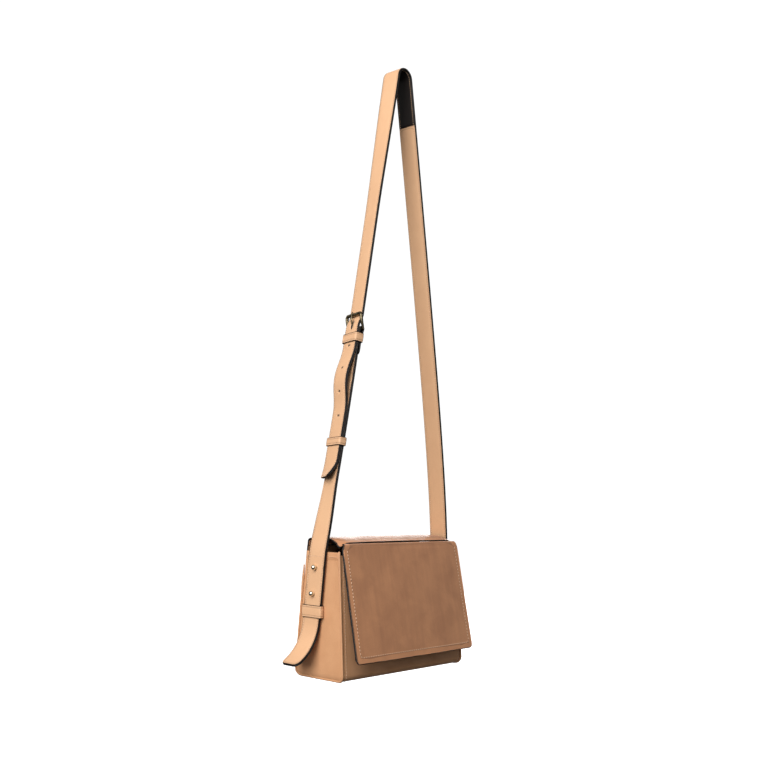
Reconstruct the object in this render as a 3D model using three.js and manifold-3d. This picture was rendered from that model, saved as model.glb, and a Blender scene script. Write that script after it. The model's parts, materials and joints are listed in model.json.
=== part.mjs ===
// A leather sling bag that hangs from its shoulder strap.
// Millimetres, +Z up, the flap faces -Y. The origin is the underside of the strap where it is held.

import * as THREE from 'three';
import { mergeVertices } from 'three/addons/utils/BufferGeometryUtils.js';
import Module from 'manifold-3d';

const wasm = await Module();
wasm.setup();

const rad = THREE.MathUtils.degToRad;
const { smoothstep } = THREE.MathUtils;

// ---------------------------------------------------------------- driving dimensions

// pouch
const BAG_WIDTH = 224;
const BAG_HEIGHT = 150;
const BASE_DEPTH = 80;
const MOUTH_DEPTH = 58;
const BASE_RADIUS = 5;
const FRONT_DROP = 4;
const BACK_RISE = 5;
const LEATHER = 1.6;
const LINING = 0.8;
const BOARD = 2;
const GAP = 0.3;
const INTERLINING = 2;

// flap
const FLAP_WIDTH = 221;
const FLAP_WAIST = 213;
const FLAP_RISE = 8.5;
const FLAP_OVERHANG = 2.5;
const FLAP_DROP = 139;
const FLAP_ANGLE = 12;
const FLAP_CORNER = 6;
const FLAP_ANCHOR = 22;
const FLAP_FULL_RUN = 6;
const FLAP_WAIST_START = 8;
const FLAP_WAIST_END = 4;
const CREASE_ROOM = 1.3;
const WASHER_ROOM = 1.3;

// magnetic catch
const CATCH_DROP = 95;
const CATCH_RADIUS = 9;
const CATCH_THICK = 2.2;
const KEEPER_DISC_RADIUS = 8;
const KEEPER_DISC_THICK = 1.6;
const POST_RADIUS = 1.6;
const WASHER_RADIUS = 7;
const WASHER_THICK = 0.7;

// strap
const STRAP_WIDTH = 28;
const STRAP_RISE = 633;
const STRAP_SETBACK = 3;
const STRAP_LEAD = 10;
const STRAP_LEAD_LENGTH = 110;
const STRAP_BACKING = 1.4;
const HOLD_RADIUS = 11;
const TWIST = -13.5;
const TWIST_FROM = 10;
const TWIST_FULL = 90;
const TWIST_EASE = 420;
const BACKING_JOINT = 60;

// strap ends on the gussets
const STRAP_STANDOFF = 2.2;
const END_STRAIGHT = 84;
const END_CURL_RADIUS = 55;
const END_CURL_ANGLE = 65;
const STUD_DROPS = [20, 51];
const STUD_NECK = 1.7;
const STUD_BALL = 3.2;
const STUD_FLANGE = 3.6;
const STUD_UNDERCUT = rad(57.6);
const SCREW_HEAD = 3.8;
const SCREW_HEAD_THICK = 1;
const STUD_PLATE_THICK = 1.2;
const STUD_PLATE_MARGIN = 10;
const KEEPER_THICK = 1.3;
const KEEPER_HEIGHT = 12;
const KEEPER_CLEAR = 0.4;
const GUSSET_KEEPER_DROP = 72;

// buckle and the straps around it, measured up the strand from the gusset's hem
const HEEL_UP = 276.5;
const BUCKLE_LENGTH = 18.5;
const BUCKLE_WIRE = 1.5;
const BUCKLE_SIDE_ROOM = 0.6;
const FOLD_BACK = 33;
const FIXED_KEEPER_UP = 264.5;
const SLIDING_KEEPER_UP = 132;
const SLIDING_KEEPER_HEIGHT = 10.5;
const TAIL_TIP_UP = 86;
const TAIL_ROUND = 10;
const TAIL_BULGE = 6;
const TAIL_BULGE_UP = 212;
const TAIL_BULGE_HALF = 42;
const TAIL_FLARE = 3.5;
const TAIL_FLARE_LENGTH = 14;
const HOLE_PITCH = 30;
const HOLE_COUNT = 4;
const HOLE_RADIUS = 1.6;
const PRONG_WIDTH = 2.6;
const PRONG_THICK = 1.5;
const PRONG_COLLAR = 1.2;
const PRONG_PAST_BAR = 3;
const PRONG_SHOULDER = 0.5;
const PRONG_HOLE_UP = 8;
const PRONG_HOLE_LENGTH = 18;
const PRONG_SLOT_LENGTH = 14;
const CROSSING_START = 3;
const CROSSING_STOP = 1;

// facets round a turned piece and steps in a rounded corner
const POST_SIDES = 20;
const DISC_SIDES = 28;
const STUD_SIDES = 14;
const WIRE_SIDES = 12;
const EYE_SIDES = 16;
const SOCKET_SIDES = 40;
const CORNER_STEPS = 4;

// ---------------------------------------------------------------- values that follow

const STRAP_THICK = STRAP_BACKING + GAP + LEATHER;
const HALF_WIDTH = BAG_WIDTH / 2;
const HALF_STRAP = STRAP_WIDTH / 2;
const HANG = BAG_HEIGHT + STRAP_RISE;
const FRONT_TOP = BAG_HEIGHT - FRONT_DROP;
const BACK_TOP = BAG_HEIGHT + BACK_RISE;
const INNER_BOTTOM = LEATHER + GAP + BOARD + GAP;
const LINING_OFFSET = LEATHER + INTERLINING;
const LINING_HALF_WIDTH = HALF_WIDTH - LEATHER - GAP - STUD_PLATE_THICK - GAP - SCREW_HEAD_THICK - GAP;
const SOCKET_CLEAR = 0.4;
const TAIL_OFFSET = STRAP_THICK + KEEPER_CLEAR;
const OVERCUT = 4;

const vec = (x, y, z) => new THREE.Vector3(x, y, z);
const halfDepth = (z) => (BASE_DEPTH + (MOUTH_DEPTH - BASE_DEPTH) * (z / BAG_HEIGHT)) / 2;

const CREASE = { y: -halfDepth(BAG_HEIGHT) - FLAP_OVERHANG, z: BAG_HEIGHT + FLAP_RISE };
const HINGE = { y: halfDepth(BACK_TOP) + GAP + LEATHER / 2, z: CREASE.z };

// ---------------------------------------------------------------- materials

const LEATHER_TAN = new THREE.MeshStandardMaterial({ color: 0xc79a72, roughness: 0.55, metalness: 0 });
const LEATHER_FLAP = new THREE.MeshStandardMaterial({ color: 0xa97c5a, roughness: 0.5, metalness: 0 });
const LINING_BLACK = new THREE.MeshStandardMaterial({ color: 0x17140f, roughness: 0.95, metalness: 0 });
const BOARD_GREY = new THREE.MeshStandardMaterial({ color: 0x8a8378, roughness: 0.9, metalness: 0 });
const ANTIQUE_BRASS = new THREE.MeshStandardMaterial({ color: 0x6f5c36, roughness: 0.35, metalness: 1 });
const PALE_BRASS = new THREE.MeshStandardMaterial({ color: 0xcdbb93, roughness: 0.2, metalness: 1 });
const STEEL = new THREE.MeshStandardMaterial({ color: 0x9a9a98, roughness: 0.35, metalness: 1 });

// ---------------------------------------------------------------- solid helpers

function toSolid(geometry) {
  const plain = geometry.clone();
  plain.deleteAttribute('normal');
  plain.deleteAttribute('uv');
  const merged = mergeVertices(plain, 1e-4);
  const mesh = new wasm.Mesh({
    numProp: 3,
    vertProperties: new Float32Array(merged.attributes.position.array),
    triVerts: new Uint32Array(merged.index.array),
  });
  return new wasm.Manifold(mesh);
}

function toGeometry(solid) {
  const mesh = solid.getMesh();
  const geometry = new THREE.BufferGeometry();
  geometry.setAttribute('position', new THREE.BufferAttribute(mesh.vertProperties, 3));
  geometry.setIndex(new THREE.BufferAttribute(mesh.triVerts, 1));
  geometry.computeVertexNormals();
  return geometry;
}

function cut(geometry, ...tools) {
  const solid = tools.reduce((rest, tool) => rest.subtract(toSolid(tool)), toSolid(geometry));
  return toGeometry(solid);
}

function join(...geometries) {
  const [first, ...others] = geometries.map(toSolid);
  return toGeometry(others.reduce((all, solid) => all.add(solid), first));
}

function outlineShape(points, holes = []) {
  const shape = new THREE.Shape(points.map(([a, b]) => new THREE.Vector2(a, b)));
  shape.holes = holes.map((hole) => new THREE.Path(hole.map(([a, b]) => new THREE.Vector2(a, b))));
  return shape;
}

function prismZ(points, z0, z1, holes = []) {
  const options = { depth: z1 - z0, bevelEnabled: false };
  return new THREE.ExtrudeGeometry(outlineShape(points, holes), options).translate(0, 0, z0);
}

// outline in (y, z), run along X
function prismX(points, x0, x1) {
  const turn = new THREE.Matrix4().makeBasis(vec(0, 1, 0), vec(0, 0, 1), vec(1, 0, 0));
  const options = { depth: x1 - x0, bevelEnabled: false };
  return new THREE.ExtrudeGeometry(outlineShape(points), options).applyMatrix4(turn).translate(x0, 0, 0);
}

function cylinderX(radius, x0, x1, y = 0, z = 0, sides = POST_SIDES) {
  const along = new THREE.CylinderGeometry(radius, radius, x1 - x0, sides).rotateZ(Math.PI / 2);
  return along.translate((x0 + x1) / 2, y, z);
}

function cylinderY(radius, y0, y1, x = 0, z = 0, sides = POST_SIDES) {
  return new THREE.CylinderGeometry(radius, radius, y1 - y0, sides).translate(x, (y0 + y1) / 2, z);
}

// turned about X: profile points are [x, radius], from one end to the other
function latheX(profile, sides = STUD_SIDES) {
  const points = profile.map(([x, r]) => new THREE.Vector2(r, x));
  return new THREE.LatheGeometry(points, sides).rotateZ(-Math.PI / 2);
}

// a closed band through stations { p, n, f, half }: p on its inner face, n its outward normal,
// f the way across it, half its half-width there
function band(stations, thick) {
  const corners = stations.flatMap(({ p, n, f, half }) => {
    const out = n.clone().multiplyScalar(thick);
    const a = p.clone().addScaledVector(f, half);
    const b = p.clone().addScaledVector(f, -half);
    return [a, b, b.clone().add(out), a.clone().add(out)];
  });
  const faces = [0, 1, 2, 0, 2, 3];
  for (let i = 0; i + 1 < stations.length; i += 1) {
    for (let k = 0; k < 4; k += 1) {
      const a = 4 * i + k;
      const b = 4 * i + ((k + 1) % 4);
      // inner and outer faces share a diagonal, so stacked bands stay parallel where they twist
      faces.push(...(k === 2 ? [a, a + 4, b, a + 4, b + 4, b] : [a, a + 4, b + 4, a, b + 4, b]));
    }
  }
  const last = corners.length - 4;
  faces.push(last, last + 2, last + 1, last, last + 3, last + 2);
  const { p, n, f } = stations[0];
  const forward = stations[1].p.clone().sub(p);
  const mirrored = f.clone().cross(n).dot(forward) < 0;
  const index = mirrored ? faces.reverse() : faces;
  const geometry = new THREE.BufferGeometry().setFromPoints(corners);
  geometry.setIndex(index);
  geometry.computeVertexNormals();
  return geometry;
}

// half-width of a strip whose end is rounded over the given length
function roundedHalf(distanceFromEnd, roundLength, half) {
  const inside = Math.min(distanceFromEnd / roundLength, 1);
  return Math.max(half * Math.sqrt(inside * (2 - inside)), half * 0.2);
}

function steps(from, to, count) {
  return Array.from({ length: count + 1 }, (_, i) => from + ((to - from) * i) / count);
}

function add(parent, name, geometry, material) {
  const mesh = new THREE.Mesh(geometry, material);
  mesh.name = name;
  parent.add(mesh);
  return mesh;
}

// ---------------------------------------------------------------- the strap's course

// The course runs from the left gusset's hem (0) up the left strand, over the hold and down to
// the right gusset's hem. Its reference is the strap's inner face.
const HEM_X = HALF_WIDTH + STRAP_STANDOFF;
const HOLD_DROP = STRAP_RISE - HOLD_RADIUS;
const TO_HOLD = Math.hypot(HEM_X, HOLD_DROP);
const LEAN = Math.atan2(HEM_X, HOLD_DROP) - Math.asin(HOLD_RADIUS / TO_HOLD);
const STRAND = Math.sqrt(TO_HOLD ** 2 - HOLD_RADIUS ** 2);
const OVER = HOLD_RADIUS * (Math.PI - 2 * LEAN);
const COURSE = 2 * STRAND + OVER;

// the strap slants forwards as it climbs the gusset, and less and less so above the hem
const SLANT = STRAP_LEAD / STRAP_LEAD_LENGTH;

function endSetback(drop) {
  return STRAP_SETBACK + SLANT * drop;
}

function strandSetback(up) {
  return STRAP_SETBACK - STRAP_LEAD * (1 - Math.exp(-Math.max(up, 0) / STRAP_LEAD_LENGTH));
}

function twistAt(up) {
  const rise = smoothstep(up, TWIST_FROM, TWIST_FULL);
  const ease = 1 - smoothstep(up, TWIST_EASE, STRAND);
  return rad(TWIST) * rise * ease;
}

function courseFrame(s) {
  let p;
  let n;
  if (s <= STRAND) {
    p = vec(-HEM_X + s * Math.sin(LEAN), 0, -STRAP_RISE + s * Math.cos(LEAN));
    n = vec(-Math.cos(LEAN), 0, Math.sin(LEAN));
  } else if (s < STRAND + OVER) {
    const angle = Math.PI - LEAN - (s - STRAND) / HOLD_RADIUS;
    n = vec(Math.cos(angle), 0, Math.sin(angle));
    p = vec(0, 0, -HOLD_RADIUS).addScaledVector(n, HOLD_RADIUS);
  } else {
    const up = COURSE - s;
    p = vec(HEM_X - up * Math.sin(LEAN), 0, -STRAP_RISE + up * Math.cos(LEAN));
    n = vec(Math.cos(LEAN), 0, Math.sin(LEAN));
  }
  p.y = strandSetback(Math.min(s, COURSE - s));
  const f = vec(0, -1, 0);
  const t = n.clone().cross(f);
  const turn = new THREE.Quaternion().setFromAxisAngle(t, s < STRAND ? twistAt(s) : 0);
  return { p, n: n.applyQuaternion(turn), f: f.applyQuaternion(turn), t };
}

// a point of the left strand's own frame: out from the inner face, across to the front, up
function strandPoint(s, out, along = 0) {
  const { p, n, t } = courseFrame(s);
  return p.clone().addScaledVector(n, out).addScaledVector(t, along);
}

function strandGroup(s) {
  const { p, n, f, t } = courseFrame(s);
  const group = new THREE.Group();
  group.position.copy(p);
  group.quaternion.setFromRotationMatrix(new THREE.Matrix4().makeBasis(n, f, t));
  return group;
}

function alongCourse(places, offsetAt, halfAt) {
  return places.map((s) => {
    const { p, n, f } = courseFrame(s);
    return { p: p.addScaledVector(n, offsetAt(s)), n, f, half: halfAt(s) };
  });
}

// ---------------------------------------------------------------- pouch

// the pouch's front, base and back as one outline, a given distance inside the outer face
function wallPath(offset, bottom, frontTop, backTop) {
  const radius = Math.max(BASE_RADIUS - offset, 1);
  const corner = (sign) => steps(0, Math.PI / 2, CORNER_STEPS).map((turn) => {
    const y = halfDepth(bottom + radius) - offset - radius + radius * Math.cos(turn);
    return [sign * y, bottom + radius - radius * Math.sin(turn)];
  });
  return [
    [-(halfDepth(frontTop) - offset), frontTop],
    ...corner(-1),
    ...corner(1).reverse(),
    [halfDepth(backTop) - offset, backTop],
  ];
}

function makeBodyWrap(bag) {
  const outer = wallPath(0, 0, FRONT_TOP, BACK_TOP);
  const inner = wallPath(LEATHER, LEATHER, FRONT_TOP, BACK_TOP);
  const wrap = prismX([...outer, ...inner.reverse()], -HALF_WIDTH, HALF_WIDTH);
  const { z } = catchPlace();
  const hole = cylinderY(POST_RADIUS + GAP, -BASE_DEPTH, 0, 0, z);
  add(bag, 'body_wrap', cut(wrap, hole), LEATHER_TAN);
}

function makeGusset(bag, side, name) {
  const seat = LEATHER + GAP;
  const outline = wallPath(seat, seat, BAG_HEIGHT, BAG_HEIGHT);
  const plate = prismX(outline, HALF_WIDTH - LEATHER, HALF_WIDTH);
  const holes = STUD_DROPS.map((drop) => cylinderX(
    STUD_NECK + GAP, HALF_WIDTH - OVERCUT, HALF_WIDTH + OVERCUT, side * endSetback(drop), BAG_HEIGHT - drop,
  ));
  const gusset = add(bag, name, cut(plate, ...holes), LEATHER_TAN);
  gusset.rotation.z = side > 0 ? 0 : Math.PI;
}

function makeLining(bag) {
  const outer = wallPath(LINING_OFFSET, INNER_BOTTOM, FRONT_TOP, FRONT_TOP);
  const inner = wallPath(LINING_OFFSET + LINING, INNER_BOTTOM + LINING, FRONT_TOP, FRONT_TOP);
  const raised = inner.map(([y, z]) => [y, z === FRONT_TOP ? z + OVERCUT : z]);
  const inside = LINING_HALF_WIDTH - LINING;
  const shell = cut(prismX(outer, -LINING_HALF_WIDTH, LINING_HALF_WIDTH), prismX(raised, -inside, inside));
  add(bag, 'lining', shell, LINING_BLACK);
}

function makeBaseBoard(bag) {
  const z0 = LEATHER + GAP;
  const y = halfDepth(0) - BASE_RADIUS;
  const x = HALF_WIDTH - LEATHER - GAP;
  const outline = [[-x, -y], [x, -y], [x, y], [-x, y]];
  add(bag, 'base_board', prismZ(outline, z0, z0 + BOARD), BOARD_GREY);
}

// ---------------------------------------------------------------- magnetic catch

function catchPlace() {
  const z = CREASE.z - CATCH_DROP * Math.cos(rad(FLAP_ANGLE));
  return { y: -halfDepth(z), z };
}

function disc(radius, thick) {
  return cylinderY(radius, -thick, 0, 0, 0, DISC_SIDES);
}

function makeCatch(bag) {
  const { y, z } = catchPlace();
  const wallLean = Math.atan2((BASE_DEPTH - MOUTH_DEPTH) / 2, BAG_HEIGHT);
  const catchGroup = new THREE.Group();
  catchGroup.position.set(0, y, z);
  catchGroup.rotation.x = -wallLean;
  const postEnd = LEATHER + GAP + WASHER_THICK;
  const post = cylinderY(POST_RADIUS, -GAP - CATCH_THICK / 2, postEnd);
  const plate = disc(CATCH_RADIUS, CATCH_THICK).translate(0, -GAP, 0);
  add(catchGroup, 'magnet_catch', join(plate, post), STEEL);
  const ring = disc(WASHER_RADIUS, WASHER_THICK).translate(0, postEnd, 0);
  const bore = cylinderY(POST_RADIUS + GAP, 0, 2 * postEnd);
  add(catchGroup, 'magnet_catch_washer', cut(ring, bore), STEEL);
  bag.add(catchGroup);
}

// ---------------------------------------------------------------- flap

// layers of the flap, measured inwards from the crease line's own surface
const FLAP_OUT = -1;
const FLAP_LEATHER_IN = FLAP_OUT + LEATHER;
const FLAP_LINING_OUT = FLAP_LEATHER_IN + WASHER_ROOM;
const FLAP_LINING_IN = FLAP_LINING_OUT + LINING;
const LINING_INSET = 1.5;
const LINING_CREASE_ROOM = 4;

function makeFlapAnchor(bag) {
  const top = HINGE.z - LEATHER;
  const foot = BACK_TOP - FLAP_ANCHOR;
  const face = (z) => halfDepth(z) + GAP;
  const inner = [[face(foot), foot], [face(top), top]];
  const outline = [...inner, ...inner.map(([y, z]) => [y + LEATHER, z]).reverse()];
  add(bag, 'flap_anchor', prismX(outline, -FLAP_WAIST / 2, FLAP_WAIST / 2), LEATHER_FLAP);
}

function flapTopOutline(inset, creaseRoom) {
  const front = CREASE.y + creaseRoom;
  const waist = FLAP_WAIST / 2 - inset;
  const wide = FLAP_WIDTH / 2 - inset;
  const strapFront = STRAP_SETBACK - HALF_STRAP - 3 * KEEPER_CLEAR;
  const half = [
    [wide, front],
    [wide, Math.min(front + FLAP_FULL_RUN, strapFront - FLAP_WAIST_START)],
    [waist, strapFront - FLAP_WAIST_END],
    [waist, HINGE.y - inset],
  ];
  return [...half, ...half.map(([x, y]) => [-x, y]).reverse()];
}

function makeFlapTop(bag) {
  const layer = (out, inner) => [CREASE.z - inner, CREASE.z - out];
  const leather = prismZ(flapTopOutline(0, CREASE_ROOM), ...layer(FLAP_OUT, FLAP_LEATHER_IN));
  add(bag, 'flap_top_leather', leather, LEATHER_FLAP);
  const cloth = flapTopOutline(LINING_INSET, LINING_CREASE_ROOM);
  add(bag, 'flap_top_lining', prismZ(cloth, ...layer(FLAP_LINING_OUT, FLAP_LINING_IN)), LINING_BLACK);
}

function flapFrontOutline(inset, creaseRoom) {
  const half = FLAP_WIDTH / 2 - inset;
  const radius = FLAP_CORNER - inset / 2;
  const corner = steps(0, Math.PI / 2, CORNER_STEPS).map((turn) => [
    half - radius + radius * Math.cos(turn),
    -(FLAP_DROP - inset) + radius - radius * Math.sin(turn),
  ]);
  const right = [[half, -creaseRoom], ...corner];
  return [...right, ...right.map(([x, z]) => [-x, z]).reverse()];
}

function makeFlapFront(bag) {
  const panel = new THREE.Group();
  panel.position.set(0, CREASE.y, CREASE.z);
  panel.rotation.x = -rad(FLAP_ANGLE);
  // the outline is drawn in (x, z) and given its thickness along y
  const plate = (points, y0, y1) => prismZ(points, -y1, -y0).rotateX(Math.PI / 2);
  const leather = plate(flapFrontOutline(0, CREASE_ROOM), FLAP_OUT, FLAP_LEATHER_IN);
  add(panel, 'flap_front_leather', leather, LEATHER_FLAP);
  const cloth = plate(flapFrontOutline(LINING_INSET, LINING_CREASE_ROOM), FLAP_LINING_OUT, FLAP_LINING_IN);
  const passage = cylinderY(POST_RADIUS + GAP, FLAP_OUT, FLAP_LINING_IN + OVERCUT, 0, -CATCH_DROP);
  add(panel, 'flap_front_lining', cut(cloth, passage), LINING_BLACK);
  const seat = FLAP_LINING_IN + GAP;
  const plateDisc = cylinderY(KEEPER_DISC_RADIUS, seat, seat + KEEPER_DISC_THICK, 0, -CATCH_DROP, DISC_SIDES);
  const washerOut = FLAP_LEATHER_IN + GAP;
  const post = cylinderY(POST_RADIUS, washerOut, seat + GAP, 0, -CATCH_DROP);
  add(panel, 'magnet_flap', join(plateDisc, post), STEEL);
  const ring = cylinderY(WASHER_RADIUS, washerOut, washerOut + WASHER_THICK, 0, -CATCH_DROP, DISC_SIDES);
  const bore = cylinderY(POST_RADIUS + GAP, FLAP_OUT, FLAP_LINING_IN, 0, -CATCH_DROP);
  add(panel, 'magnet_flap_washer', cut(ring, bore), STEEL);
  bag.add(panel);
}

// ---------------------------------------------------------------- strap ends on the gussets

function endStations(side, layer) {
  const stations = [];
  const x0 = HALF_WIDTH + STRAP_STANDOFF;
  const curlZ = BAG_HEIGHT - END_STRAIGHT;
  const radius = END_CURL_RADIUS;
  const f = vec(0, -1, 0);
  const place = (x, z, n, half, drop) => stations.push({ p: vec(side * x, endSetback(drop), z), n, f, half });
  const out = vec(side, 0, 0);
  place(x0 + layer, BAG_HEIGHT, out, HALF_STRAP, 0);
  place(x0 + layer, curlZ, out, HALF_STRAP, END_STRAIGHT);
  const length = radius * rad(END_CURL_ANGLE);
  for (const turn of steps(0, rad(END_CURL_ANGLE), 16).slice(1)) {
    const n = vec(side * Math.cos(turn), 0, Math.sin(turn));
    const left = length - radius * turn;
    const reach = radius - layer;
    const x = x0 + radius - reach * Math.cos(turn);
    const z = curlZ - reach * Math.sin(turn);
    place(x, z, n, roundedHalf(left, TAIL_ROUND, HALF_STRAP), END_STRAIGHT + radius * turn);
  }
  return stations;
}

function makeStrapEnd(bag, side, name) {
  const socket = cylinderX(
    HALF_STRAP + SOCKET_CLEAR, -HALF_WIDTH * 2, HALF_WIDTH * 2, STRAP_SETBACK, BAG_HEIGHT, SOCKET_SIDES,
  );
  const holes = STUD_DROPS.map((drop) => cylinderX(
    STUD_NECK + GAP, -HALF_WIDTH * 2, HALF_WIDTH * 2, endSetback(drop), BAG_HEIGHT - drop,
  ));
  const backing = band(endStations(side, 0), STRAP_BACKING);
  add(bag, `strap_end_backing_${name}`, cut(backing, socket, ...holes), LEATHER_TAN);
  const face = band(endStations(side, STRAP_BACKING + GAP), LEATHER);
  add(bag, `strap_end_face_${name}`, cut(face, socket, ...holes), LEATHER_TAN);
}

// a leather loop, seen from above: x0..x1 outwards, a given clear width across
function loopGeometry(x0, x1, height) {
  const inside = HALF_STRAP + KEEPER_CLEAR;
  const box = (a, b, c) => [[a, -c], [b, -c], [b, c], [a, c]];
  const outer = box(x0 - KEEPER_THICK, x1 + KEEPER_THICK, inside + KEEPER_THICK);
  return prismZ(outer, -height / 2, height / 2, [box(x0, x1, inside)]);
}

function makeGussetFittings(bag, side, name) {
  const fittings = new THREE.Group();
  fittings.position.set(side * HALF_WIDTH, STRAP_SETBACK, BAG_HEIGHT);
  fittings.rotation.z = side > 0 ? 0 : Math.PI;

  const loopIn = GAP + KEEPER_THICK;
  const loop = loopGeometry(loopIn, STRAP_STANDOFF + STRAP_THICK + KEEPER_CLEAR, KEEPER_HEIGHT);
  const keeper = add(fittings, `gusset_keeper_${name}`, loop, LEATHER_TAN);
  keeper.position.set(0, side * SLANT * GUSSET_KEEPER_DROP, -GUSSET_KEEPER_DROP);
  keeper.rotation.x = side * Math.atan(SLANT);

  const plateX = -LEATHER - GAP;
  const [top, bottom] = [STUD_PLATE_MARGIN - STUD_DROPS[0], -STUD_PLATE_MARGIN - STUD_DROPS[1]];
  const plate = new THREE.BoxGeometry(STUD_PLATE_THICK, STRAP_WIDTH, top - bottom)
    .translate(plateX - STUD_PLATE_THICK / 2, -side * SLANT * (top + bottom) / 2, (top + bottom) / 2);
  const bores = STUD_DROPS.map((drop) => cylinderX(
    STUD_NECK + GAP, -OVERCUT * 2, OVERCUT, side * SLANT * drop, -drop,
  ));
  add(fittings, `stud_plate_${name}`, cut(plate, ...bores), BOARD_GREY);

  const neckTop = STRAP_STANDOFF + STRAP_THICK + GAP;
  const ballMiddle = neckTop + STUD_BALL * Math.sin(STUD_UNDERCUT);
  const shankEnd = GAP;
  const stud = latheX([
    [shankEnd, 0],
    [shankEnd, STUD_FLANGE],
    [STRAP_STANDOFF - GAP, STUD_FLANGE],
    [STRAP_STANDOFF - GAP, STUD_NECK],
    [neckTop, STUD_NECK],
    ...steps(-STUD_UNDERCUT, rad(82), 8).map((turn) => [
      ballMiddle + STUD_BALL * Math.sin(turn),
      STUD_BALL * Math.cos(turn),
    ]),
    [ballMiddle + STUD_BALL, 0],
  ]);
  const headX = plateX - STUD_PLATE_THICK - GAP;
  const screw = latheX([
    [headX - SCREW_HEAD_THICK, 0],
    [headX - SCREW_HEAD_THICK, SCREW_HEAD],
    [headX, SCREW_HEAD],
    [headX, STUD_NECK],
    [0, STUD_NECK],
    [0, 0],
  ]);
  STUD_DROPS.forEach((drop, i) => {
    const level = i === 0 ? 'upper' : 'lower';
    const seat = vec(0, side * SLANT * drop, -drop);
    add(fittings, `stud_${level}_${name}`, stud, PALE_BRASS).position.copy(seat);
    add(fittings, `stud_screw_${level}_${name}`, screw, STEEL).position.copy(seat);
  });
  bag.add(fittings);
}

// ---------------------------------------------------------------- long strap

const CROSSING_TOP = HEEL_UP + BUCKLE_LENGTH - CROSSING_STOP;
const CROSSING_FOOT = HEEL_UP + CROSSING_START;
const HOLE_DEPTH = 40;

// how far the long strap's inner face stands off the course: it passes under the buckle's top
// bar, over its heel bar, and hangs as a tail outside the lower strap
function longStrapOffset(s) {
  const outside = TAIL_OFFSET * (1 - smoothstep(s, CROSSING_FOOT, CROSSING_TOP));
  const reach = Math.min(Math.abs(s - TAIL_BULGE_UP) / TAIL_BULGE_HALF, 1);
  const bulge = TAIL_BULGE * 0.5 * (1 + Math.cos(Math.PI * reach));
  const flare = Math.max(0, (TAIL_TIP_UP + TAIL_FLARE_LENGTH - s) / TAIL_FLARE_LENGTH);
  return outside + bulge + TAIL_FLARE * flare ** 2;
}

function longStrapHalf(s) {
  const tip = roundedHalf(s - TAIL_TIP_UP, TAIL_ROUND, HALF_STRAP);
  return Math.min(tip, socketHalf(COURSE - s));
}

// the strand's foot is a half disc that turns in the socket of the strap end
function socketHalf(up) {
  return up > 0 ? HALF_STRAP : Math.sqrt(Math.max(HALF_STRAP ** 2 - up ** 2, 4));
}

function footPlaces() {
  return steps(0, Math.PI / 2, 6).map((turn) => -HALF_STRAP * Math.sin(turn) * 0.99);
}

function longStrapPlaces() {
  const tail = [
    ...steps(TAIL_TIP_UP, TAIL_TIP_UP + TAIL_FLARE_LENGTH, 7),
    ...steps(TAIL_BULGE_UP - TAIL_BULGE_HALF, TAIL_BULGE_UP + TAIL_BULGE_HALF, 14),
    ...steps(CROSSING_FOOT, CROSSING_TOP, 8),
  ];
  const over = steps(STRAND, STRAND + OVER, 15);
  const middle = steps(TWIST_EASE, STRAND - HOLD_RADIUS, 8);
  const foot = footPlaces().map((up) => COURSE - up);
  return [...tail, CROSSING_TOP + BUCKLE_LENGTH, ...middle, ...over, COURSE - BACKING_JOINT * 2, ...foot];
}

function holeTool(s, radiusAcross, radiusAlong) {
  const tool = new THREE.CylinderGeometry(1, 1, HOLE_DEPTH, EYE_SIDES).rotateZ(Math.PI / 2);
  tool.scale(1, radiusAcross, radiusAlong);
  const { n, f, t } = courseFrame(s);
  tool.applyMatrix4(new THREE.Matrix4().makeBasis(n, f, t));
  return tool.translate(...strandPoint(s, TAIL_OFFSET).toArray());
}

function makeLongStrap(root) {
  const places = longStrapPlaces();
  const prongHole = HEEL_UP + PRONG_HOLE_UP;
  const holes = [
    holeTool(prongHole, PRONG_WIDTH / 2 + 4 * GAP, PRONG_HOLE_LENGTH / 2),
    ...steps(1, HOLE_COUNT, HOLE_COUNT - 1).map((i) => holeTool(
      prongHole - i * HOLE_PITCH, HOLE_RADIUS, HOLE_RADIUS,
    )),
  ];
  const layer = (list, lift, thick) => band(
    alongCourse(list, (s) => longStrapOffset(s) + lift, longStrapHalf), thick,
  );
  add(root, 'strap_face', cut(layer(places, STRAP_BACKING + GAP, LEATHER), ...holes), LEATHER_TAN);
  const joint = STRAND + OVER + BACKING_JOINT;
  const main = [...places.filter((s) => s < joint), joint];
  const right = [joint + GAP, ...places.filter((s) => s > joint + GAP)];
  add(root, 'strap_backing_main', cut(layer(main, 0, STRAP_BACKING), ...holes), LEATHER_TAN);
  add(root, 'strap_backing_right', layer(right, 0, STRAP_BACKING), LEATHER_TAN);
}

// ---------------------------------------------------------------- lower strap and buckle

const FACE_IN = STRAP_BACKING + GAP;
const FOLD_RADIUS = BUCKLE_WIRE + GAP;
const HEEL_OUT = FACE_IN - FOLD_RADIUS;
const FOLD_END_UP = HEEL_UP - FOLD_BACK;
const FOLD_SETTLE = 12;
const TOP_BAR_OUT = STRAP_THICK + KEEPER_CLEAR + BUCKLE_WIRE;
const RAIL_SWELL = 1.04;

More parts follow.
